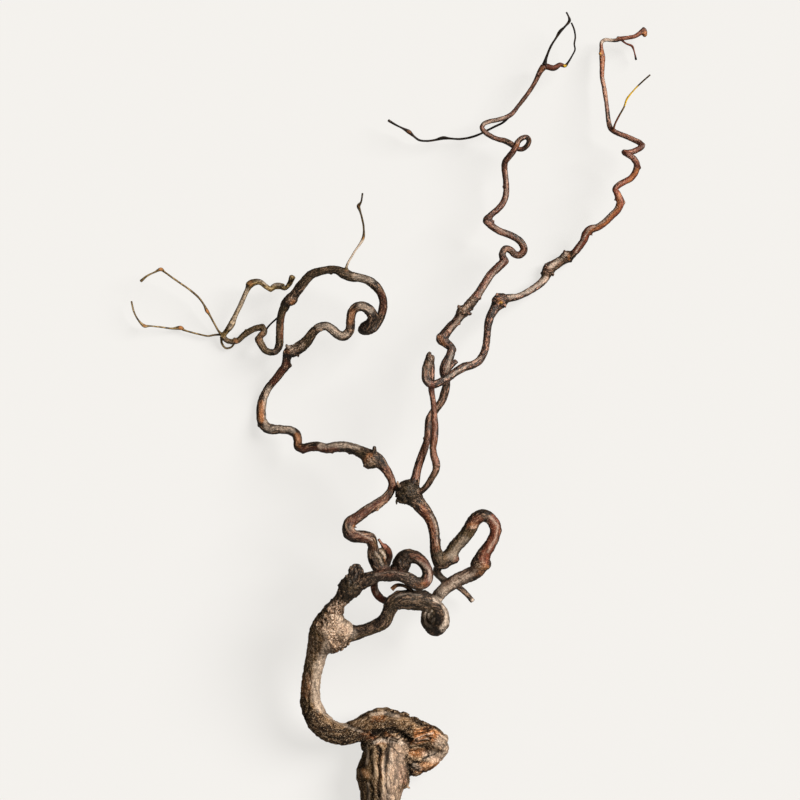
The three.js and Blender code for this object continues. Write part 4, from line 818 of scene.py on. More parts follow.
        (0.8, 9, (468, 531), (460, 542), (452, 552)),
    ],
    ("right_limb", "crumbly"): [(0.35, 8, (479, 566))],
    ("middle_limb", "pale"): [
        (0.5, 2.4, (447, 372), (452, 352)), (0.6, 2.6, (450, 330), (461, 317)),
        (0.5, 2, (479, 297), (493, 275), (503, 262)), (0.4, 1.5, (508, 234), (493, 226)),
        (0.4, 1.3, (506, 200), (507, 172), (513, 154)), (0.5, 2.6, (484, 124), (505, 117)),
    ],
    ("middle_limb", "orange"): [
        (0.4, 2, (417, 476), (423, 455), (428, 432)), (0.7, 4, (443, 345), (440, 338)),
        (0.9, 2.6, (516.5, 145)), (0.6, 3.5, (542, 69)),
    ],
    ("middle_limb", "red"): [
        (0.6, 5, (418, 476), (422, 458), (428, 436)), (0.5, 6, (478, 296), (492, 274), (503, 262)),
        (0.45, 7, (520, 250), (500, 232), (488, 222), (503, 205), (507, 172), (516, 146)),
        (0.45, 7, (500, 140), (484, 130), (500, 118), (520, 104), (536, 82), (545, 68)),
    ],
    ("middle_limb", "olive"): [
        (0.5, 5, (430, 420), (441, 402), (446, 385)), (0.6, 8, (462, 312), (474, 302)),
        (0.5, 5, (506, 250), (520, 254), (520, 243)), (0.6, 5, (527, 143), (505, 141), (484, 132)),
        (0.5, 4, (520, 104), (536, 82)),
    ],
    ("middle_limb", "dark"): [
        (0.4, 26, (415, 480), (428, 430), (447, 372), (450, 335), (463, 311), (480, 290)),
        (0.55, 26, (500, 262), (488, 224), (507, 172), (500, 140), (520, 104), (545, 70)),
        (0.7, 5, (488, 220)),
    ],
    ("middle_limb", "crumbly"): [(0.5, 4, (461, 312), (473, 300))],
    ("outer_limb", "pale"): [
        (0.6, 1.3, (424.5, 366), (424, 378), (430, 385)), (0.4, 2, (445, 379), (470, 364), (481, 357)),
        (0.65, 3.5, (509, 297), (528, 291), (546, 279)), (0.9, 2.8, (550, 267), (558, 261), (567, 254)),
        # Painted highlight: a thin pale line along the upper side of the outer limb.
        (0.8, 1.6, (576, 252), (589, 229), (604, 221), (616, 207)),
        (0.3, 2.2, (607, 120), (606, 98), (603, 78)), (1.0, 5, (603, 42), (610, 39)),
    ],
    ("outer_limb", "orange"): [
        (1.2, 4.5, (500, 302)), (0.8, 2.6, (568, 252), (569, 259)),
        (0.9, 2.6, (589, 232), (605, 223), (618, 208), (619, 196), (637, 170)),
        (0.6, 2.4, (602, 50), (604, 75), (607, 100)), (0.9, 3, (600, 54)), (1.2, 4, (645, 34)),
    ],
    ("outer_limb", "red"): [
        (0.6, 5, (436, 462), (434, 430), (434, 405), (431, 385)),
        (1.5, 7, (577, 248), (590, 231), (606, 223), (619, 207), (618, 190), (634, 175)),
        (0.7, 6, (637, 165), (626, 154), (641, 146), (612, 130)),
        (1.0, 5, (606, 110), (603, 70), (602, 42)), (0.9, 5, (622, 39), (638, 35)),
        (0.8, 7, (640, 36), (646, 32)),
    ],
    ("outer_limb", "olive"): [
        (0.8, 6, (415, 491), (434, 474), (434, 440)), (0.4, 6, (434, 440), (433, 396)),
        (0.8, 7, (430, 357), (426, 372)), (0.7, 6, (545, 277), (560, 262), (573, 254)),
    ],
    ("outer_limb", "dark"): [
        (0.7, 5, (430, 356), (431, 366)), (0.45, 8, (424, 370), (426, 384), (445, 379)),
        (0.7, 8, (500, 301)), (0.6, 2, (553, 272), (561, 266), (568, 262)), (0.9, 2.6, (617, 36)),
        (0.5, 7, (612, 130), (628, 139), (643, 147)),
    ],
    ("outer_limb", "yellow"): [(0.6, 2, (501, 303)), (0.8, 1.8, (646.5, 36.5)), (0.7, 1.6, (600.5, 54))],
    ("outer_limb", "crumbly"): [(0.45, 4, (430, 355), (431, 364))],
    ("red_shoot", "pale"): [(0.6, 2.6, (377, 594), (376, 584), (382, 571), (390, 560))],
    ("red_shoot", "red"): [(0.9, 20, (387, 602), (375, 590), (380, 573), (388, 552))],
    ("short_shoot", "pale"): [(0.9, 3, (472.5, 601)), (0.5, 2.4, (438, 577), (452, 583))],
    ("arch_twig", "pale"): [(1.4, 8, (350, 262), (355, 252), (360, 244))],
    ("arch_twig", "orange"): [(0.7, 2.4, (363, 238)), (0.7, 2.4, (358.5, 206))],
    ("arch_twig", "dark"): [(1.1, 8, (362, 230), (361, 218), (360, 206), (362, 193))],
    ("left_end_shoot", "pale"): [
        (0.6, 3, (230, 328), (240, 306), (247, 290)), (0.6, 2, (258, 279), (268, 284), (280, 284)),
    ],
    ("left_end_shoot", "orange"): [(0.6, 3.5, (251, 283))],
    ("left_end_shoot", "dark"): [(0.8, 3.5, (250, 280), (262, 281), (275, 286), (288, 283))],
    ("upper_left_twig", "orange"): [(1.0, 3, (161, 269)), (0.9, 2.6, (207, 311))],
    ("upper_left_twig", "dark"): [(0.5, 6, (141, 281))],
    ("lower_left_twig", "orange"): [(1.0, 3, (181, 328)), (0.9, 2.6, (144.5, 326))],
    ("crossing_twig", "orange"): [(0.3, 2.6, (409, 132))],
    ("top_side_twig", "red"): [(0.5, 6, (550, 67), (562, 65))],
    ("top_side_twig", "yellow"): [(1.0, 2.6, (565, 66))],
    ("yellow_twig", "red"): [(1.2, 6, (613, 131), (619, 117))],
    ("yellow_twig", "dark"): [(0.7, 6, (613, 131), (619, 115)), (0.9, 7, (643, 82), (650, 75))],
    ("yellow_twig", "yellow"): [(3.0, 6, (626, 103), (634, 90))],
    ("yellow_twig", "even"): [(2.0, 8, (626, 103), (634, 90))],
    ("end_twiglet", "red"): [(0.9, 8, (622, 42), (634, 50))],
}
KINDS = ("pale", "orange", "red", "olive", "dark", "yellow", "even", "crumbly")

# A patch fades out toward its reach. Noise makes its edge ragged, but not past this share of its reach.
PATCH_FADE = 1.5
PATCH_RAGGED = 0.8
PATCH_END = 1.35
PATCH_NOISE = (7, 7, 7)
PATCH_SEED = 71


def scatter(x, y, z, seed):
    """A repeatable value from -1 to 1 for each whole-number corner, from bits mixed by large odd numbers."""
    mixed = x * np.uint32(374761393) + y * np.uint32(668265263) + z * np.uint32(1440662683) + seed
    mixed = (mixed ^ (mixed >> np.uint32(13))) * np.uint32(1274126177)
    mixed = mixed ^ (mixed >> np.uint32(16))
    return (mixed & np.uint32(0xFFFF)) / 32767.5 - 1


def soft(share):
    """A share from 0 to 1 with a gentle start and end."""
    return share * share * (3 - 2 * share)


def bumps(spots, seed):
    """Smooth noise from -1 to 1 with one bump for each whole number."""
    corner = np.floor(spots)
    part = soft(spots - corner)
    x, y, z = corner.astype(np.int64).astype(np.uint32).T
    seed = np.uint32((seed * 1013904223) & 0xFFFFFFFF)
    total = np.zeros(len(spots))
    for dx in (0, 1):
        for dy in (0, 1):
            for dz in (0, 1):
                weight = np.abs(1 - dx - part[:, 0]) * np.abs(1 - dy - part[:, 1])
                weight = weight * np.abs(1 - dz - part[:, 2])
                total += weight * scatter(x + np.uint32(dx), y + np.uint32(dy), z + np.uint32(dz), seed)
    return total


def noise(spots, size, seed, layers=2):
    """Layered noise from about -1 to 1. Size is that of its largest bumps in millimetres."""
    total = np.zeros(len(spots))
    share = 1.0
    for layer in range(layers):
        total += share * bumps(spots / np.array(size) * 2 ** layer + LAYER_APART * layer, seed + layer)
        share /= 2
    return total / (2 - 2 * share)


def lengths(rows):
    """The length of each row of x, y and z."""
    return np.linalg.norm(rows, axis=1)


def place(route):
    """Spots in the row frame, in millimetres, of (across, down, height) rows of the plan."""
    rows = np.array(route, float)
    share = 1 - rows[:, 2] / EYE_HEIGHT
    x = PLAN_CENTRE[0] - REST_SPOT[0] + (rows[:, 0] - PLAN_CENTRE[0]) * share
    y = REST_SPOT[1] - PLAN_CENTRE[1] - (rows[:, 1] - PLAN_CENTRE[1]) * share
    return np.column_stack([x, y, rows[:, 2]]), share


def plan_of(spots):
    """Across and down in the plan of spots in the row frame."""
    share = 1 - spots[:, 2] / EYE_HEIGHT
    across = PLAN_CENTRE[0] + (spots[:, 0] - PLAN_CENTRE[0] + REST_SPOT[0]) / share
    down = PLAN_CENTRE[1] - (spots[:, 1] + PLAN_CENTRE[1] - REST_SPOT[1]) / share
    return np.column_stack([across, down])


def away_from(plan, points):
    """How far plan spots are from a drawn line, or from its only point."""
    line = np.array(points if len(points) > 1 else points * 2, float)
    away = np.full(len(plan), np.inf)
    for start, stop in zip(line[:-1], line[1:]):
        step = stop - start
        t = np.clip(((plan - start) @ step) / max(step @ step, 1e-9), 0, 1)
        away = np.minimum(away, lengths(plan - start - t[:, None] * step))
    return away


def smooth_curve(rows):
    """Close rows along the centripetal curve through the given rows of x, y, z and radius."""
    ends = np.vstack([2 * rows[0] - rows[1], rows, 2 * rows[-1] - rows[-2]])
    knots = np.concatenate([[0], np.cumsum(lengths(np.diff(ends[:, :3], axis=0)) ** 0.5)])
    close = []
    for i in range(1, len(rows)):
        a, b, c, d = ends[i - 1:i + 3]
        ka, kb, kc, kd = knots[i - 1:i + 3]
        t = np.linspace(kb, kc, ROUTE_STEPS, endpoint=False)[:, None]
        ab = ((kb - t) * a + (t - ka) * b) / (kb - ka)
        bc = ((kc - t) * b + (t - kb) * c) / (kc - kb)
        cd = ((kd - t) * c + (t - kc) * d) / (kd - kc)
        left = ((kc - t) * ab + (t - ka) * bc) / (kc - ka)
        right = ((kd - t) * bc + (t - kb) * cd) / (kd - kb)
        close.append(((kc - t) * left + (t - kb) * right) / (kc - kb))
    return np.vstack([*close, rows[-1:]])


def bark_relief(bark, skin, radius, seed, lump=False):
    """How far the bark stands out in millimetres, and its fine part as 0 in a crack to 1 on a ridge."""
    spots = bark.reshape(-1, 3)
    coarse = skin["coarse"]

    def layer(name, spots):
        long, wide = (coarse * size + more for size, more in BARK_NOISES[name][:2])
        return noise(spots, (long, wide, wide), seed + BARK_NOISES[name][2])

    warp = layer("warp", spots) * WARP_REACH * coarse
    bent = spots + np.column_stack([0 * warp, warp, -warp])
    ridged = np.abs(layer("knot_furrows" if lump else "furrows", bent))
    spread = np.clip(FURROW_DEPTH[0] + FURROW_DEPTH[1] * layer("spread", spots), *FURROW_LIMITS)
    furrow = np.clip(1 - ridged * FURROW_NARROW, 0, 1) ** FURROW_STEEP * spread
    detail = -skin["furrows"] * furrow * (KNOT_FURROWS if lump else 1)
    detail = detail + PLATE_SHARE * skin["furrows"] * layer("plates", bent)
    detail = detail + skin["wrinkles"] * layer("wrinkles", spots) + skin["fine"] * layer("fine", spots)
    full = skin["furrows"] + skin["wrinkles"] + skin["fine"]
    rise = np.clip(MIDDLE_RISE + RISE_SHARE * detail / full, 0, 1)
    scale = np.minimum(FULL_RELIEF, radius.ravel() / skin["meant"])
    lift = scale * (skin["lumps"] * layer("lumps", spots) + detail)
    return lift.reshape(radius.shape), rise.reshape(radius.shape)


class Skin:
    """A closed net of rings round a middle line, pushed in or out by lift, in millimetres."""

    def swell(self, amount):
        self.lift = self.lift + amount.reshape(self.lift.shape)

    def shade(self, amount):
        self.rise = self.rise + amount.reshape(self.rise.shape)

    def thickest(self):
        return self.radius.max()

    def base(self):
        """Every corner before its bark stands out."""
        return (self.middle[:, None] + self.way * self.radius[..., None]).reshape(-1, 3)

    def toward(self, other, reach):
        """Swells this skin near another one, so that the two meet in a rounded fork."""
        near = other.distance(self.base(), reach)
        h = np.clip(reach - np.abs(near), 0, None) / reach
        self.swell(h * h * reach / 4)

    def score(self, marks):
        """Cuts or raises lines drawn on the upper side."""
        plan = plan_of(self.base())
        upper = np.clip((self.way[..., 2].ravel() + MARK_EDGE) / MARK_FADE, 0, 1)
        for depth, width, *points in marks:
            cut = depth * upper * np.exp(-((away_from(plan, points) / width) ** 2))
            self.swell(-cut)
            self.shade(-MARK_SHADE * cut / abs(depth))

    def roughen(self, height, size, reach, points):
        """Breaks the bark near a drawn line into crumbling flakes with steep edges."""
        near = np.clip(FLAKE_FADE * (1 - away_from(plan_of(self.base()), points) / reach), 0, 1)
        if not near.any():
            return
        sizes = (FLAKE_LENGTH * size, size, size)
        layer = noise(self.bark.reshape(-1, 3), sizes, self.seed + FLAKE_SEED) * FLAKE_LAYERS
        part = layer - np.floor(layer)
        edge = np.clip((part - FLAKE_EDGE) / (1 - FLAKE_EDGE), 0, 1)
        flake = (np.floor(layer) + soft(edge)) / FLAKE_LAYERS
        self.swell(height * near * flake)
        gap = 4 * edge * (1 - edge)
        self.shade(FLAKE_SHADE * near * (flake - gap))


class Stem(Skin):
    """The fine skin of one grown length along a route."""

    def __init__(self, route, kind, seed, flat):
        skin = SKINS[kind]
        self.seed = seed
        self.flat = flat
        spots, share = place(route)
        close = smooth_curve(np.column_stack([spots, np.array(route, float)[:, 3] * share]))
        gone = np.concatenate([[0], np.cumsum(lengths(np.diff(close[:, :3], axis=0)))])
        self.along = np.linspace(0, gone[-1], max(4, round(gone[-1] / skin["step"])) + 1)
        rows = np.column_stack([np.interp(self.along, gone, close[:, k]) for k in range(4)])
        self.middle, self.thick = rows[:, :3], rows[:, 3]
        self.ahead = np.gradient(self.middle, axis=0)
        self.ahead /= lengths(self.ahead)[:, None]
        side = np.array([0.0, 0.0, 1.0]) if abs(self.ahead[0, 2]) < 0.9 else np.array([1.0, 0.0, 0.0])
        sides = []
        for way in self.ahead:
            side = side - way * (side @ way)
            side = side / np.linalg.norm(side)
            sides.append(side)
        self.side = np.array(sides)
        self.across = np.cross(self.ahead, self.side)
        self.angle = np.arange(skin["sides"]) / skin["sides"] * 2 * math.pi
        turn = self.angle[None, :, None]
        self.way = np.cos(turn) * self.side[:, None] + np.sin(turn) * self.across[:, None]
        self.radius = np.repeat(self.thick[:, None], len(self.angle), axis=1)
        self.bark = self.bark_spots()
        self.lift, self.rise = bark_relief(self.bark, skin, self.radius, seed)

    def bark_spots(self):
        """Where each corner is in the bark: along the stem and round it, so that grain follows the stem."""
        turn = self.angle[None, :] + BARK_TWIST * self.along[:, None]
        first = np.repeat(self.along[:, None] + STEM_APART * self.seed, len(self.angle), axis=1)
        return np.stack([first, self.radius * np.cos(turn), self.radius * np.sin(turn)], axis=-1)

    def distance(self, spots, reach):
        """Roughly how far spots are outside the skin, and below zero inside it. Spots past reach are far."""
        low = self.middle.min(axis=0) - self.thick.max() - reach
        high = self.middle.max(axis=0) + self.thick.max() + reach
        near = np.all((spots > low) & (spots < high), axis=1)
        best = np.full(len(spots), np.inf)
        some = spots[near]
        least = np.full(len(some), np.inf)
        for middle, thick in zip(self.middle[::2], self.thick[::2]):
            least = np.minimum(least, lengths(some - middle) - thick)
        best[near] = least
        return best

    def bud(self, across, down, width, height, sharpness):
        """Raises a bud, nub or thorn on the side of the stem that the plan point is nearest to."""
        plan = plan_of(self.middle)
        ring = int(np.argmin(lengths(plan - (across, down))))
        aside = np.array([across - plan[ring, 0], plan[ring, 1] - down])
        far = float(np.linalg.norm(aside))
        out = min(1.0, far / self.thick[ring])
        aim = np.array([*(aside / max(far, 1e-6) * out), math.sqrt(max(0.0, 1 - out * out))])
        turn = math.atan2(aim @ self.across[ring], aim @ self.side[ring])
        swing = np.angle(np.exp(1j * (self.angle - turn)))
        away = np.hypot(self.along[:, None] - self.along[ring], self.thick[ring] * swing[None, :]) / width
        self.swell(height * np.exp(-away ** (2 * sharpness)))
        self.shade(BUD_SHADE * np.exp(-away ** 2))

    def reaches(self):
        """The way from the middle line to each corner, short enough not to cross the next ring in a bend."""
        reach = self.way * (self.radius + self.lift)[..., None]
        share = np.ones(self.radius.shape)
        for way in (1, -1):
            near = np.roll(self.middle, way, axis=0)
            lead = np.roll(self.ahead, way, axis=0)
            between = ((self.middle - near) * lead).sum(axis=1) * way
            towards = -(reach * lead[:, None]).sum(axis=2) * way
            room = np.maximum(between * (1 - RING_CLEAR), 0)[:, None]
            fits = np.where(towards > room, room / np.maximum(towards, 1e-9), 1)
            fits[0 if way == 1 else -1] = 1
            share = np.minimum(share, fits)
        return reach * share[..., None]

    def cap(self, end, sign, flat, reach):
        """The rings that close one end, from the stem to the tip, and the tip."""
        stand = 0 if flat else DOME * self.thick[end]
        rings, bark, rise = [], [], []
        for k in range(1, DOME_RINGS):
            turn = k / DOME_RINGS * math.pi / 2
            size = CUT_RINGS[k - 1] if flat else math.cos(turn)
            shift = self.ahead[end] * sign * stand * math.sin(turn)
            rings.append(self.middle[end] + reach[end] * size + shift)
            bark.append(self.bark[end] * (1, size, size))
            rise.append(self.rise[end] + SAWN_RISE * flat)
        tip = self.middle[end] + self.ahead[end] * sign * stand
        return np.array(rings), np.array(bark), np.array(rise), tip

    def net(self):
        """Corners, bark spots and relief, ring by ring with the two ends closed."""
        reach = self.reaches()
        first = self.cap(0, -1, "start" in self.flat, reach)
        last = self.cap(-1, 1, "end" in self.flat, reach)
        whole = (self.middle[:, None] + reach, self.bark, self.rise)
        rings = [np.concatenate([first[k][::-1], whole[k], last[k]]) for k in range(3)]
        return *rings, first[3], last[3]


class Lump(Skin):
    """A knot or burl: an uneven ball, kept as rings from pole to pole."""

    def __init__(self, row, kind, seed):
        centre, share = place([row[:3]])
        self.centre = centre[0]
        self.size = np.array(row[3:]) * share[0]
        self.seed = seed
        rows = max(LUMP_ROWS, round(float(self.size.max()) * math.pi / SKINS[kind]["step"]))
        turn = np.arange(2 * rows) / rows * math.pi
        up = np.linspace(-0.5, 0.5, rows + 1)[1:-1] * math.pi
        x = np.sin(up)[:, None] * np.ones(len(turn))
        y = np.cos(up)[:, None] * np.cos(turn)
        z = np.cos(up)[:, None] * np.sin(turn)
        stretched = np.stack([x, y, z], axis=-1) * self.size
        self.radius = np.linalg.norm(stretched, axis=-1)
        self.way = stretched / self.radius[..., None]
        self.middle = np.repeat(self.centre[None], len(up), axis=0)
        self.bark = stretched + LUMP_APART * seed
        self.lift, self.rise = bark_relief(self.bark, SKINS[kind], self.radius, seed, lump=True)

    def distance(self, spots, reach):
        """Roughly how far spots are outside the ball, and below zero inside it, whatever the reach."""
        return (lengths((spots - self.centre) / self.size) - 1) * self.size.min()

    def net(self):
        """Corners, bark spots and relief, ring by ring, and the two poles."""
        rings = self.middle[:, None] + self.way * (self.radius + self.lift)[..., None]
        first = self.centre - (self.size[0] + self.lift[0].mean(), 0, 0)
        last = self.centre + (self.size[0] + self.lift[-1].mean(), 0, 0)
        return rings, self.bark, self.rise, first, last


def closed_faces(rings, sides):
    """Corner numbers of the squares between rings and of the fans at both poles."""
    ring = np.arange(rings - 1)[:, None] * sides
    k = np.arange(sides)[None, :]
    after = (k + 1) % sides
    squares = np.stack([ring + k, ring + after, ring + sides + after, ring + sides + k], axis=-1)
    k, after = k[0], after[0]
    first, last = rings * sides, rings * sides + 1
    top = (rings - 1) * sides
    fans = np.concatenate([
        np.stack([np.full(sides, first), after, k], axis=-1),
        np.stack([np.full(sides, last), top + k, top + after], axis=-1),
    ])
    return squares.reshape(-1, 4), fans


def keep(mesh, name, values):
    """Keeps a number or a vector at every corner of a mesh, for its material to read."""
    kind, field = ("FLOAT", "value") if values.ndim == 1 else ("FLOAT_VECTOR", "vector")
    layer = mesh.attributes.new(name, kind, "POINT")
    layer.data.foreach_set(field, values.astype(np.float32).ravel())


def corners_of(mesh):
    """Every corner of a mesh, in metres."""
    spots = np.empty(len(mesh.vertices) * 3, np.float32)
    mesh.vertices.foreach_get("co", spots)
    return spots.reshape(-1, 3)


def linked(name, data):
    """A new object in the scene."""
    shape = bpy.data.objects.new(name, data)
    bpy.context.scene.collection.objects.link(shape)
    return shape


def skin_object(name, skin):
    """A Blender object of one closed skin, with its bark spots and relief kept at its corners."""
    rings, bark, rise, first, last = skin.net()
    squares, fans = closed_faces(*rings.shape[:2])
    spots = np.vstack([rings.reshape(-1, 3), first, last]) * MM
    mesh = bpy.data.meshes.new(name)
    mesh.vertices.add(len(spots))
    mesh.vertices.foreach_set("co", spots.astype(np.float32).ravel())
    mesh.loops.add(squares.size + fans.size)
    mesh.loops.foreach_set("vertex_index", np.concatenate([squares.ravel(), fans.ravel()]).astype(np.int32))
    mesh.polygons.add(len(squares) + len(fans))
    starts = np.concatenate([np.arange(len(squares)) * 4, squares.size + np.arange(len(fans)) * 3])
    mesh.polygons.foreach_set("loop_start", starts.astype(np.int32))
    mesh.update(calc_edges=True)
    keep(mesh, "bark", np.vstack([bark.reshape(-1, 3), bark[0].mean(axis=0), bark[-1].mean(axis=0)]))
    keep(mesh, "rise", np.concatenate([rise.ravel(), [rise[0].mean(), rise[-1].mean()]]))
    return linked(name, mesh)


def fused(name, shapes):
    """One closed mesh of overlapping closed shapes, which are taken away."""
    whole = shapes[0]
    for shape in shapes[1:]:
        union = whole.modifiers.new(shape.name, "BOOLEAN")
        union.operation = "UNION"
        union.solver = "MANIFOLD"
        union.object = shape
    evaluated = whole.evaluated_get(bpy.context.evaluated_depsgraph_get())
    mesh = bpy.data.meshes.new_from_object(evaluated)
    mesh.name = name
    for shape in shapes:
        old = shape.data
        bpy.data.objects.remove(shape)
        bpy.data.meshes.remove(old)
    return mesh


def painted(name, mesh):
    """Keeps at every corner how strongly each kind of patch shows there."""
    spots = corners_of(mesh).astype(float) / MM
    plan = plan_of(spots)
    ragged = noise(spots, PATCH_NOISE, PATCH_SEED, 3)
    for number, kind in enumerate(KINDS):
        shown = np.zeros(len(plan))
        for strength, reach, *points in PATCHES.get((name, kind), []):
            away = away_from(plan, points)
            full = np.clip(PATCH_FADE * (1 - away / reach) + PATCH_RAGGED * np.roll(ragged, number), 0, 1)
            full = np.where(away < PATCH_END * reach, full, 0)
            shown = np.maximum(shown, strength * soft(full))
        keep(mesh, kind, shown)


def build_skins():
    """The skins of every piece: forks and lumps blended, then marks, crumbling bark and buds."""
    named, parts = {}, {}
    for name, piece in PIECES.items():
        stems = {stem: Stem(ROUTES[stem], *rest) for stem, *rest in piece["stems"]}
        kind, seed = piece["stems"][0][1:3]
        lumps = {f"{name}_lump_{number}": Lump(row, kind, 10 * seed + number)
                 for number, row in enumerate(KNOTS.get(name, []))}
        named.update(stems | lumps)
        parts[name] = [*stems.values(), *lumps.values()]
    splinters = [(name, route) for name, routes in SPLINTERS for route in routes]
    for number, (name, route) in enumerate(splinters):
        parts[name].append(Stem(route, "twig", SPLINTER_SEED + number, ""))
    for one, other, reach in FORKS:
        named[one].toward(named[other], reach)
        named[other].toward(named[one], reach)
    for skins in parts.values():
        for lump in [skin for skin in skins if isinstance(skin, Lump)]:
            reach = min(LUMP_BLEND, LUMP_SHARE * lump.size.min())
            for skin in skins:
                if skin is not lump and skin.thickest() > reach:
                    skin.toward(lump, reach)
                    lump.toward(skin, reach)
    for stem, marks in MARKS.items():
        named[stem].score(marks)
    for name, rows in FLAKING.items():
        for height, size, reach, *points in rows:
            for skin in parts[name]:
                skin.roughen(height, size, reach, points)
    for stem, rows in BUDS.items():
        for row in rows:
            named[stem].bud(*row)
    return parts


def build_pieces():
    """Every piece of the branch, each as one closed mesh inside the box of the solids."""
    low, high = (np.array(corner) for corner in cad_box)
    shapes = {}
    for name, skins in build_skins().items():
        mesh = fused(f"{name}_wood", [skin_object(f"{name}_{k}", skin) for k, skin in enumerate(skins)])
        inside = np.clip(corners_of(mesh), low, high)
        mesh.vertices.foreach_set("co", inside.astype(np.float32).ravel())
        mesh.update()
        mesh.materials.clear()
        painted(name, mesh)
        mesh.polygons.foreach_set("use_smooth", np.ones(len(mesh.polygons), bool))
        # How far each corner faces up; from it the materials paint a highlight along the top and shade on the
        # sides.
        keep(mesh, "upward", np.array([corner.vector[2] for corner in mesh.vertex_normals], np.float32))
        shape = linked(f"{name}_wood", mesh)
        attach(shape, "root")
        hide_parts(name)
        shapes[name] = shape
    return shapes


def tone(red, green, blue):
    """A colour of 0 to 255 as it looks, as Blender's linear colour."""
    return (*(((c / 255 + 0.055) / 1.055) ** 2.4 if c > 10 else c / 3294.6 for c in (red, green, blue)), 1)


# The colours of patches, cracks and grains of bark, and of the sawn end.
PALE = tone(232, 211, 192)
ORANGE = tone(204, 130, 74)
RED = tone(152, 76, 50)
OLIVE = tone(84, 69, 38)
YELLOW = tone(238, 192, 40)
DARK = tone(26, 18, 11)
CRACK = tone(20, 13, 8)
GRAIN_DEEP = tone(88, 62, 42)
GRAIN_MID = tone(182, 146, 117)
CUT_WOOD = tone(218, 190, 148)
CUT_LINE = tone(142, 104, 68)
HEART_WOOD = tone(192, 138, 98)

# The patches in the order they are laid on, with the most that each covers. Streaks and flecks break them up:
# the first share of a patch is left where those are weak, and the second where they are strong.
PAINTS = (
    ("olive", OLIVE, 0.75, 0.45, 1.0), ("red", RED, 0.75, 0.45, 1.0), ("orange", ORANGE, 0.8, 0.45, 1.0),
    ("pale", PALE, 0.9, 0.45, 1.0), ("dark", DARK, 0.85, 1.0, 0.55), ("yellow", YELLOW, 1.0, 0.45, 1.0),
)

# Noises in the colour of every wood: size in millimetres in the three ways of the bark, detail, roughness.
FLECK = ((1.9, 1.0, 1.0), 3, 0.7)
CRUMB = ((1.0, 0.7, 0.7), 2, 0.6)
SPECK = ((1.3, 0.9, 0.9), 2, 0.55)
GRAIN = ((1.8, 1.4, 1.4), 2, 0.6)

# On a sawn end, in millimetres in the plane of the cut: where the pith is, how far from it the heartwood
# starts and is full, how many year rings a millimetre has, and the way across the drying crack.
PITH = (-1.6, 2.2)
HEART_EDGE = (18.0, 11.5)
RINGS_PER_MM = 0.42
CRACK_WAY = (0.6, -0.8)

# The depth in metres of the finest relief, which only the light shows.
BUMP_DEPTH = 0.0009


class Nodes:
    """Short names for building a material."""

    def __init__(self, name):
        self.material = bpy.data.materials.new(name)
        self.material.use_nodes = True
        self.tree = self.material.node_tree
        self.tree.nodes.clear()

    def new(self, kind, **settings):
        node = self.tree.nodes.new(f"ShaderNode{kind}")
        for name, value in settings.items():
            setattr(node, name, value)
        return node

    def put(self, socket, value):
        if isinstance(value, bpy.types.NodeSocket):
            self.tree.links.new(value, socket)
        else:
            socket.default_value = value

    def fill(self, node, values):
        """Sets or links sockets of a node, by name or number."""
        for socket, value in values.items():
            self.put(node.inputs[socket], value)

    def read(self, name, output="Fac"):
        return self.new("Attribute", attribute_name=name).outputs[output]

    def vector(self, kind, *values):
        node = self.new("VectorMath", operation=kind)
        self.fill(node, dict(enumerate(values)))
        return node.outputs[0]

    def bent(self, vector, amount, scale):
        """The vector pushed about by noise."""
        turned = self.new("TexNoise")
        self.fill(turned, {"Vector": vector, "Scale": scale})
        middle = self.vector("SUBTRACT", turned.outputs["Color"], (0.5, 0.5, 0.5))
        return self.vector("MULTIPLY_ADD", middle, (amount, amount, amount), vector)

    def noise(self, vector, size, detail, rough=0.6):
        """Noise whose bumps have the given size in each of the three ways of the vector."""
        node = self.new("TexNoise")
        self.fill(node, {"Vector": self.vector("DIVIDE", vector, size), "Scale": 1, "Detail": detail,
                         "Roughness": rough})
        return node.outputs["Fac"]

    def remap(self, value, low, high, start=0.0, stop=1.0):
        """Goes softly from start to stop while the value goes from low to high."""
        node = self.new("MapRange", interpolation_type="SMOOTHSTEP")
        self.fill(node, {"Value": value, "From Min": low, "From Max": high, "To Min": start, "To Max": stop})
        return node.outputs["Result"]

    def calc(self, kind, *values):
        node = self.new("Math", operation=kind)
        self.fill(node, dict(enumerate(values)))
        return node.outputs[0]

    def times(self, first, second):
        return self.calc("MULTIPLY", first, second)

    def plus(self, first, second):
        return self.calc("ADD", first, second)

    def line(self, value, slope, start):
        """The value times slope, plus start."""
        return self.calc("MULTIPLY_ADD", value, slope, start)

    def blend(self, share, first, second, kind="MIX"):
        node = self.new("Mix", data_type="RGBA", blend_type=kind)
        self.fill(node, {"Factor": share, 6: first, 7: second})
        return node.outputs[2]

    def ramp(self, value, ends, stops):
        """A colour from the first end to the second, with stops between them."""
        node = self.new("ValToRGB")
        self.put(node.inputs[0], value)
        elements = node.color_ramp.elements
        for element, (spot, colour) in zip(elements, ends):
            element.position = spot
            element.color = colour
        for spot, colour in stops:
            elements.new(spot).color = colour
        return node.outputs["Color"]

    def finish(self, values):
        """Ends the material in one surface shader with these values."""
        surface = self.new("BsdfPrincipled")
        self.fill(surface, values)
        self.tree.links.new(surface.outputs[0], self.new("OutputMaterial").inputs[0])
        return self.material


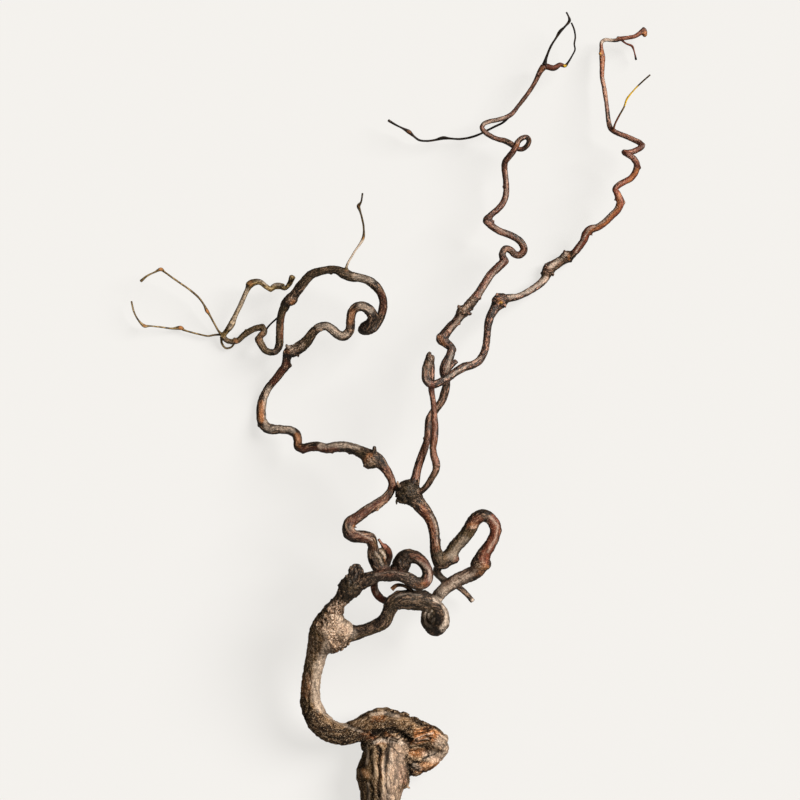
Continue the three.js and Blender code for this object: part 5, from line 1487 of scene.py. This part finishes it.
def sawn_end(n, bark, fleck):
    """Sapwood and a browner heart with year rings round the pith, and one drying crack on one side of it."""
    parts = n.new("SeparateXYZ")
    n.put(parts.inputs[0], bark)
    ways = (parts.outputs[1], parts.outputs[2])
    squares = [n.calc("POWER", n.calc("SUBTRACT", way, pith), 2.0) for way, pith in zip(ways, PITH)]
    wavy = n.plus(n.calc("SQRT", n.plus(*squares)), n.times(n.noise(bark, (6, 6, 6), 3), 2.2))
    ring = n.calc("FRACT", n.times(wavy, RINGS_PER_MM))
    sawn = n.blend(n.remap(wavy, *HEART_EDGE), CUT_WOOD, HEART_WOOD)
    sawn = n.blend(n.remap(ring, 0.35, 0.95, 0.0, 0.75), sawn, CUT_LINE)
    sawn = n.blend(n.remap(fleck, 0.35, 0.75, 0.0, 0.4), sawn, CUT_LINE)
    beside = n.plus(*(n.times(way, share) for way, share in zip(ways, CRACK_WAY)))
    beside = n.calc("ABSOLUTE", n.plus(beside, n.times(n.noise(bark, (5, 5, 5), 2), 2.0)))
    return n.blend(n.times(n.remap(beside, 0.7, 0.2), n.remap(ways[0], -2.0, 3.0)), sawn, CRACK)


def wood(name, deep, mid, light, grain, cracks, specks, rough, bump, side_shade, shine, top_highlight):
    """Bark with streaks along the stem.

    Grain is the length and width in millimetres of its streaks. Cracks and specks say how strongly its cracks
    and specks show, and the side and top settings how strongly the painted shade on its sides and the painted
    highlight along its top show. Rough is its mean roughness, bump the strength of its fine relief, and shine
    its specular level.
    """
    n = Nodes(name)
    bark = n.read("bark", "Vector")
    rise = n.read("rise")
    even = n.read("even")
    crumbly = n.read("crumbly")
    upward = n.read("upward")

    def less_where_even(value, drop):
        return n.times(value, n.line(even, -drop, 1.0))

    long, wide = grain
    streak = n.noise(n.bent(bark, 1.6 * wide, 0.22), (long, wide, wide), 5, 0.66)
    broad = n.noise(bark, (9 * wide, 5 * wide, 5 * wide), 3, 0.55)
    fleck = n.noise(bark, *FLECK)
    crumb = n.noise(bark, *CRUMB)
    split = n.noise(n.bent(bark, 1.5 * wide, 0.45), (long * 0.8, wide * 1.3, wide * 1.3), 2.5, 0.5)
    away = n.calc("ABSOLUTE", n.calc("SUBTRACT", split, 0.5))
    crack = n.times(n.remap(away, 0.0, 0.03, 1.0, 0.0), n.remap(broad, 0.38, 0.6, 0.25, 1.0))
    crack = less_where_even(crack, 0.85)

    # Streaks, broad shades, ridges and flecks together choose the colour. The rise paints ridges lighter and
    # hollows darker, as painted light and shade of the relief.
    level = n.line(n.remap(streak, 0.34, 0.66), 0.54, -0.27)
    for value, slope, middle in ((broad, 0.9, 0.5), (rise, 0.55, 0.6), (fleck, 1.3 * specks, 0.5)):
        level = n.plus(level, n.line(value, slope, -middle * slope))
    level = n.line(level, n.line(even, -0.75, 1.35), 0.44)
    colour = n.ramp(level, [(0.0, CRACK), (1.0, light)], [(0.22, deep), (0.5, mid), (0.8, light)])

    worn = n.plus(n.times(streak, 0.6), n.times(fleck, 0.6))
    for kind, paint, most, weak, strong in PAINTS:
        broken = n.remap(worn, 0.52, 0.68, weak, strong)
        colour = n.blend(n.times(n.times(n.read(kind), most), broken), colour, paint)

    # Crumbling bark is a mix of pale and orange-brown grains with dark pits between them.
    grain_shade = n.noise(bark, *GRAIN)
    grains = n.ramp(grain_shade, [(0.37, CRACK), (0.66, PALE)], [(0.45, GRAIN_DEEP), (0.53, GRAIN_MID)])
    colour = n.blend(crumbly, colour, grains)

    # Small pale specks and dark pits, then dark cracks, then painted shade in the hollows of the relief.
    speck = n.noise(bark, *SPECK)
    colour = n.blend(n.remap(speck, 0.57, 0.63, 0.0, specks), colour, light)
    pits = less_where_even(n.remap(speck, 0.41, 0.34, 0.0, 0.75 * specks + 0.25), 0.6)
    hollow_shade = less_where_even(n.remap(rise, 0.06, 0.36, 0.85, 0.0), 0.65)
    for share in (pits, n.times(crack, cracks), hollow_shade):
        colour = n.blend(share, colour, CRACK)
    colour = n.blend(1.0, colour, n.remap(crumb, 0.3, 0.7, 0.62, 1.36), "MULTIPLY")

    # A painted highlight along the top of the branch, left out under dark patches. Its sides are painted
    # darker, as painted shade, and its underside half as much.
    painted_top_highlight = n.times(n.remap(upward, 0.91, 0.995, 0.0, top_highlight), n.remap(streak, 0.38, 0.6, 0.2, 1.0))
    painted_top_highlight = n.times(painted_top_highlight, n.remap(n.read("dark"), 0.0, 0.9, 1.0, 0.1))
    colour = n.blend(painted_top_highlight, colour, light)
    painted_side_shade = n.times(n.remap(upward, 0.86, 0.36, 0.0, side_shade), n.remap(upward, 0.1, -0.3, 1.0, 0.5))
    colour = n.blend(less_where_even(painted_side_shade, 0.25), colour, n.blend(0.8, colour, DARK))

    # The relief of a sawn end lies above that of any bark.
    colour = n.blend(n.remap(rise, 1.2, 1.7), colour, sawn_end(n, bark, fleck))

    height = n.plus(worn, n.times(crumb, 0.35))
    height = n.calc("SUBTRACT", height, n.times(crack, 0.6 * cracks))
    height = n.plus(height, n.times(n.times(grain_shade, crumbly), 1.6))
    relief = n.new("Bump")
    n.fill(relief, {"Strength": bump, "Distance": BUMP_DEPTH, "Height": height})
    return n.finish({
        "Base Color": colour, "Roughness": n.remap(fleck, 0.3, 0.7, rough - 0.1, rough + 0.12),
        "Specular IOR Level": shine, "Normal": relief.outputs[0],
    })


# The wood of each material slot.
WOODS = {
    "bark": wood("fissured_bark", tone(56, 37, 20), tone(140, 107, 74), tone(217, 187, 155), (9, 2.2),
                 cracks=0.5, specks=0.6, rough=0.8, bump=1.0, side_shade=0.8, shine=0.14, top_highlight=0.0),
    "brown_wood": wood("brown_bark", tone(16, 10, 6), tone(40, 26, 16), tone(170, 137, 112), (9, 1.5),
                       cracks=0.35, specks=0.38, rough=0.48, bump=0.9, side_shade=0.88, shine=0.3, top_highlight=0.22),
    "red_wood": wood("red_bark", tone(18, 9, 5), tone(50, 26, 16), tone(198, 148, 124), (9, 1.2),
                     cracks=0.3, specks=0.3, rough=0.4, bump=0.8, side_shade=0.94, shine=0.4, top_highlight=0.4),
    "olive_twig": wood("olive_bark", tone(72, 56, 30), tone(124, 100, 60), tone(176, 150, 108), (6, 1.2),
                       cracks=0.1, specks=0.12, rough=0.6, bump=0.4, side_shade=0.6, shine=0.2, top_highlight=0.2),
    "dark_twig": wood("dark_bark", tone(12, 8, 6), tone(26, 18, 13), tone(58, 44, 34), (6, 1.2),
                      cracks=0.1, specks=0.15, rough=0.6, bump=0.4, side_shade=0.5, shine=0.2, top_highlight=0.0),
}

# The floor glows so that it stays even and pale, and what it can't throw back comes from the lower sky.
FLOOR_HALF = 4.0
FLOOR_COLOUR = (0.16, 0.163, 0.17, 1)
FLOOR_GLOW = (0.706, 0.69, 0.662, 1)
SKY_COLOUR = (1.0, 0.9, 0.76, 1)
SKY_ABOVE = 0.15
SKY_BELOW = 0.22
HORIZON = (-0.15, 0.25)

# Lights from far away: where each comes from, how wide it looks in degrees, its strength and its colour.
SUNS = {
    "key": ((0.78, 0.42, 0.7), 34, 5.3, (1.0, 0.96, 0.895)),
    "fill": ((-0.4, -0.85, 0.28), 60, 0.62, (1.0, 0.97, 0.92)),
}
SENSOR = 36
LENS = 135
FAR_END = 20


def floor():
    """A plain pale floor far wider than the view."""
    mesh = bpy.data.meshes.new("floor")
    far = FLOOR_HALF
    mesh.from_pydata([(-far, -far, 0), (far, -far, 0), (far, far, 0), (-far, far, 0)], [], [(0, 1, 2, 3)])
    shape = linked("floor", mesh)
    mesh.materials.append(Nodes("pale_floor").finish({
        "Base Color": FLOOR_COLOUR, "Roughness": 0.9, "Specular IOR Level": 0.0,
        "Emission Color": FLOOR_GLOW, "Emission Strength": 1.0,
    }))
    shape.visible_diffuse = False
    shape.visible_glossy = False


def sky():
    """Soft light from all round, with one strength above and another below the horizon."""
    world = bpy.data.worlds.new("studio")
    world.use_nodes = True
    tree = world.node_tree
    where = tree.nodes.new("ShaderNodeTexCoord")
    height = tree.nodes.new("ShaderNodeSeparateXYZ")
    shade = tree.nodes.new("ShaderNodeMapRange")
    for socket, value in zip(("From Min", "From Max", "To Min", "To Max"), (*HORIZON, SKY_BELOW, SKY_ABOVE)):
        shade.inputs[socket].default_value = value
    tree.links.new(where.outputs["Generated"], height.inputs[0])
    tree.links.new(height.outputs["Z"], shade.inputs["Value"])
    tree.links.new(shade.outputs["Result"], tree.nodes["Background"].inputs["Strength"])
    tree.nodes["Background"].inputs["Color"].default_value = SKY_COLOUR
    return world


def studio():
    """Soft light from above and from the upper right, and the camera straight above the branch."""
    scene = bpy.context.scene
    scene.view_settings.view_transform = "Standard"
    scene.world = sky()
    for name, (come_from, width, strength, colour) in SUNS.items():
        light = bpy.data.lights.new(name, "SUN")
        light.angle = math.radians(width)
        light.energy = strength
        light.color = colour
        linked(name, light).rotation_euler = (-Vector(come_from)).to_track_quat("-Z", "Y").to_euler()

    lens = bpy.data.cameras.new("camera")
    lens.sensor_width = SENSOR
    lens.lens = LENS
    lens.clip_end = FAR_END
    scene.camera = linked("camera", lens)
    right, back = (PLAN_CENTRE[k] - REST_SPOT[k] for k in (0, 1))
    scene.camera.location = (MM * right, -MM * back, MM * EYE_HEIGHT)


for name, shape in build_pieces().items():
    shape.data.materials.append(WOODS[PIECES[name]["slot"]])
floor()
studio()

bpy.context.view_layer.update()
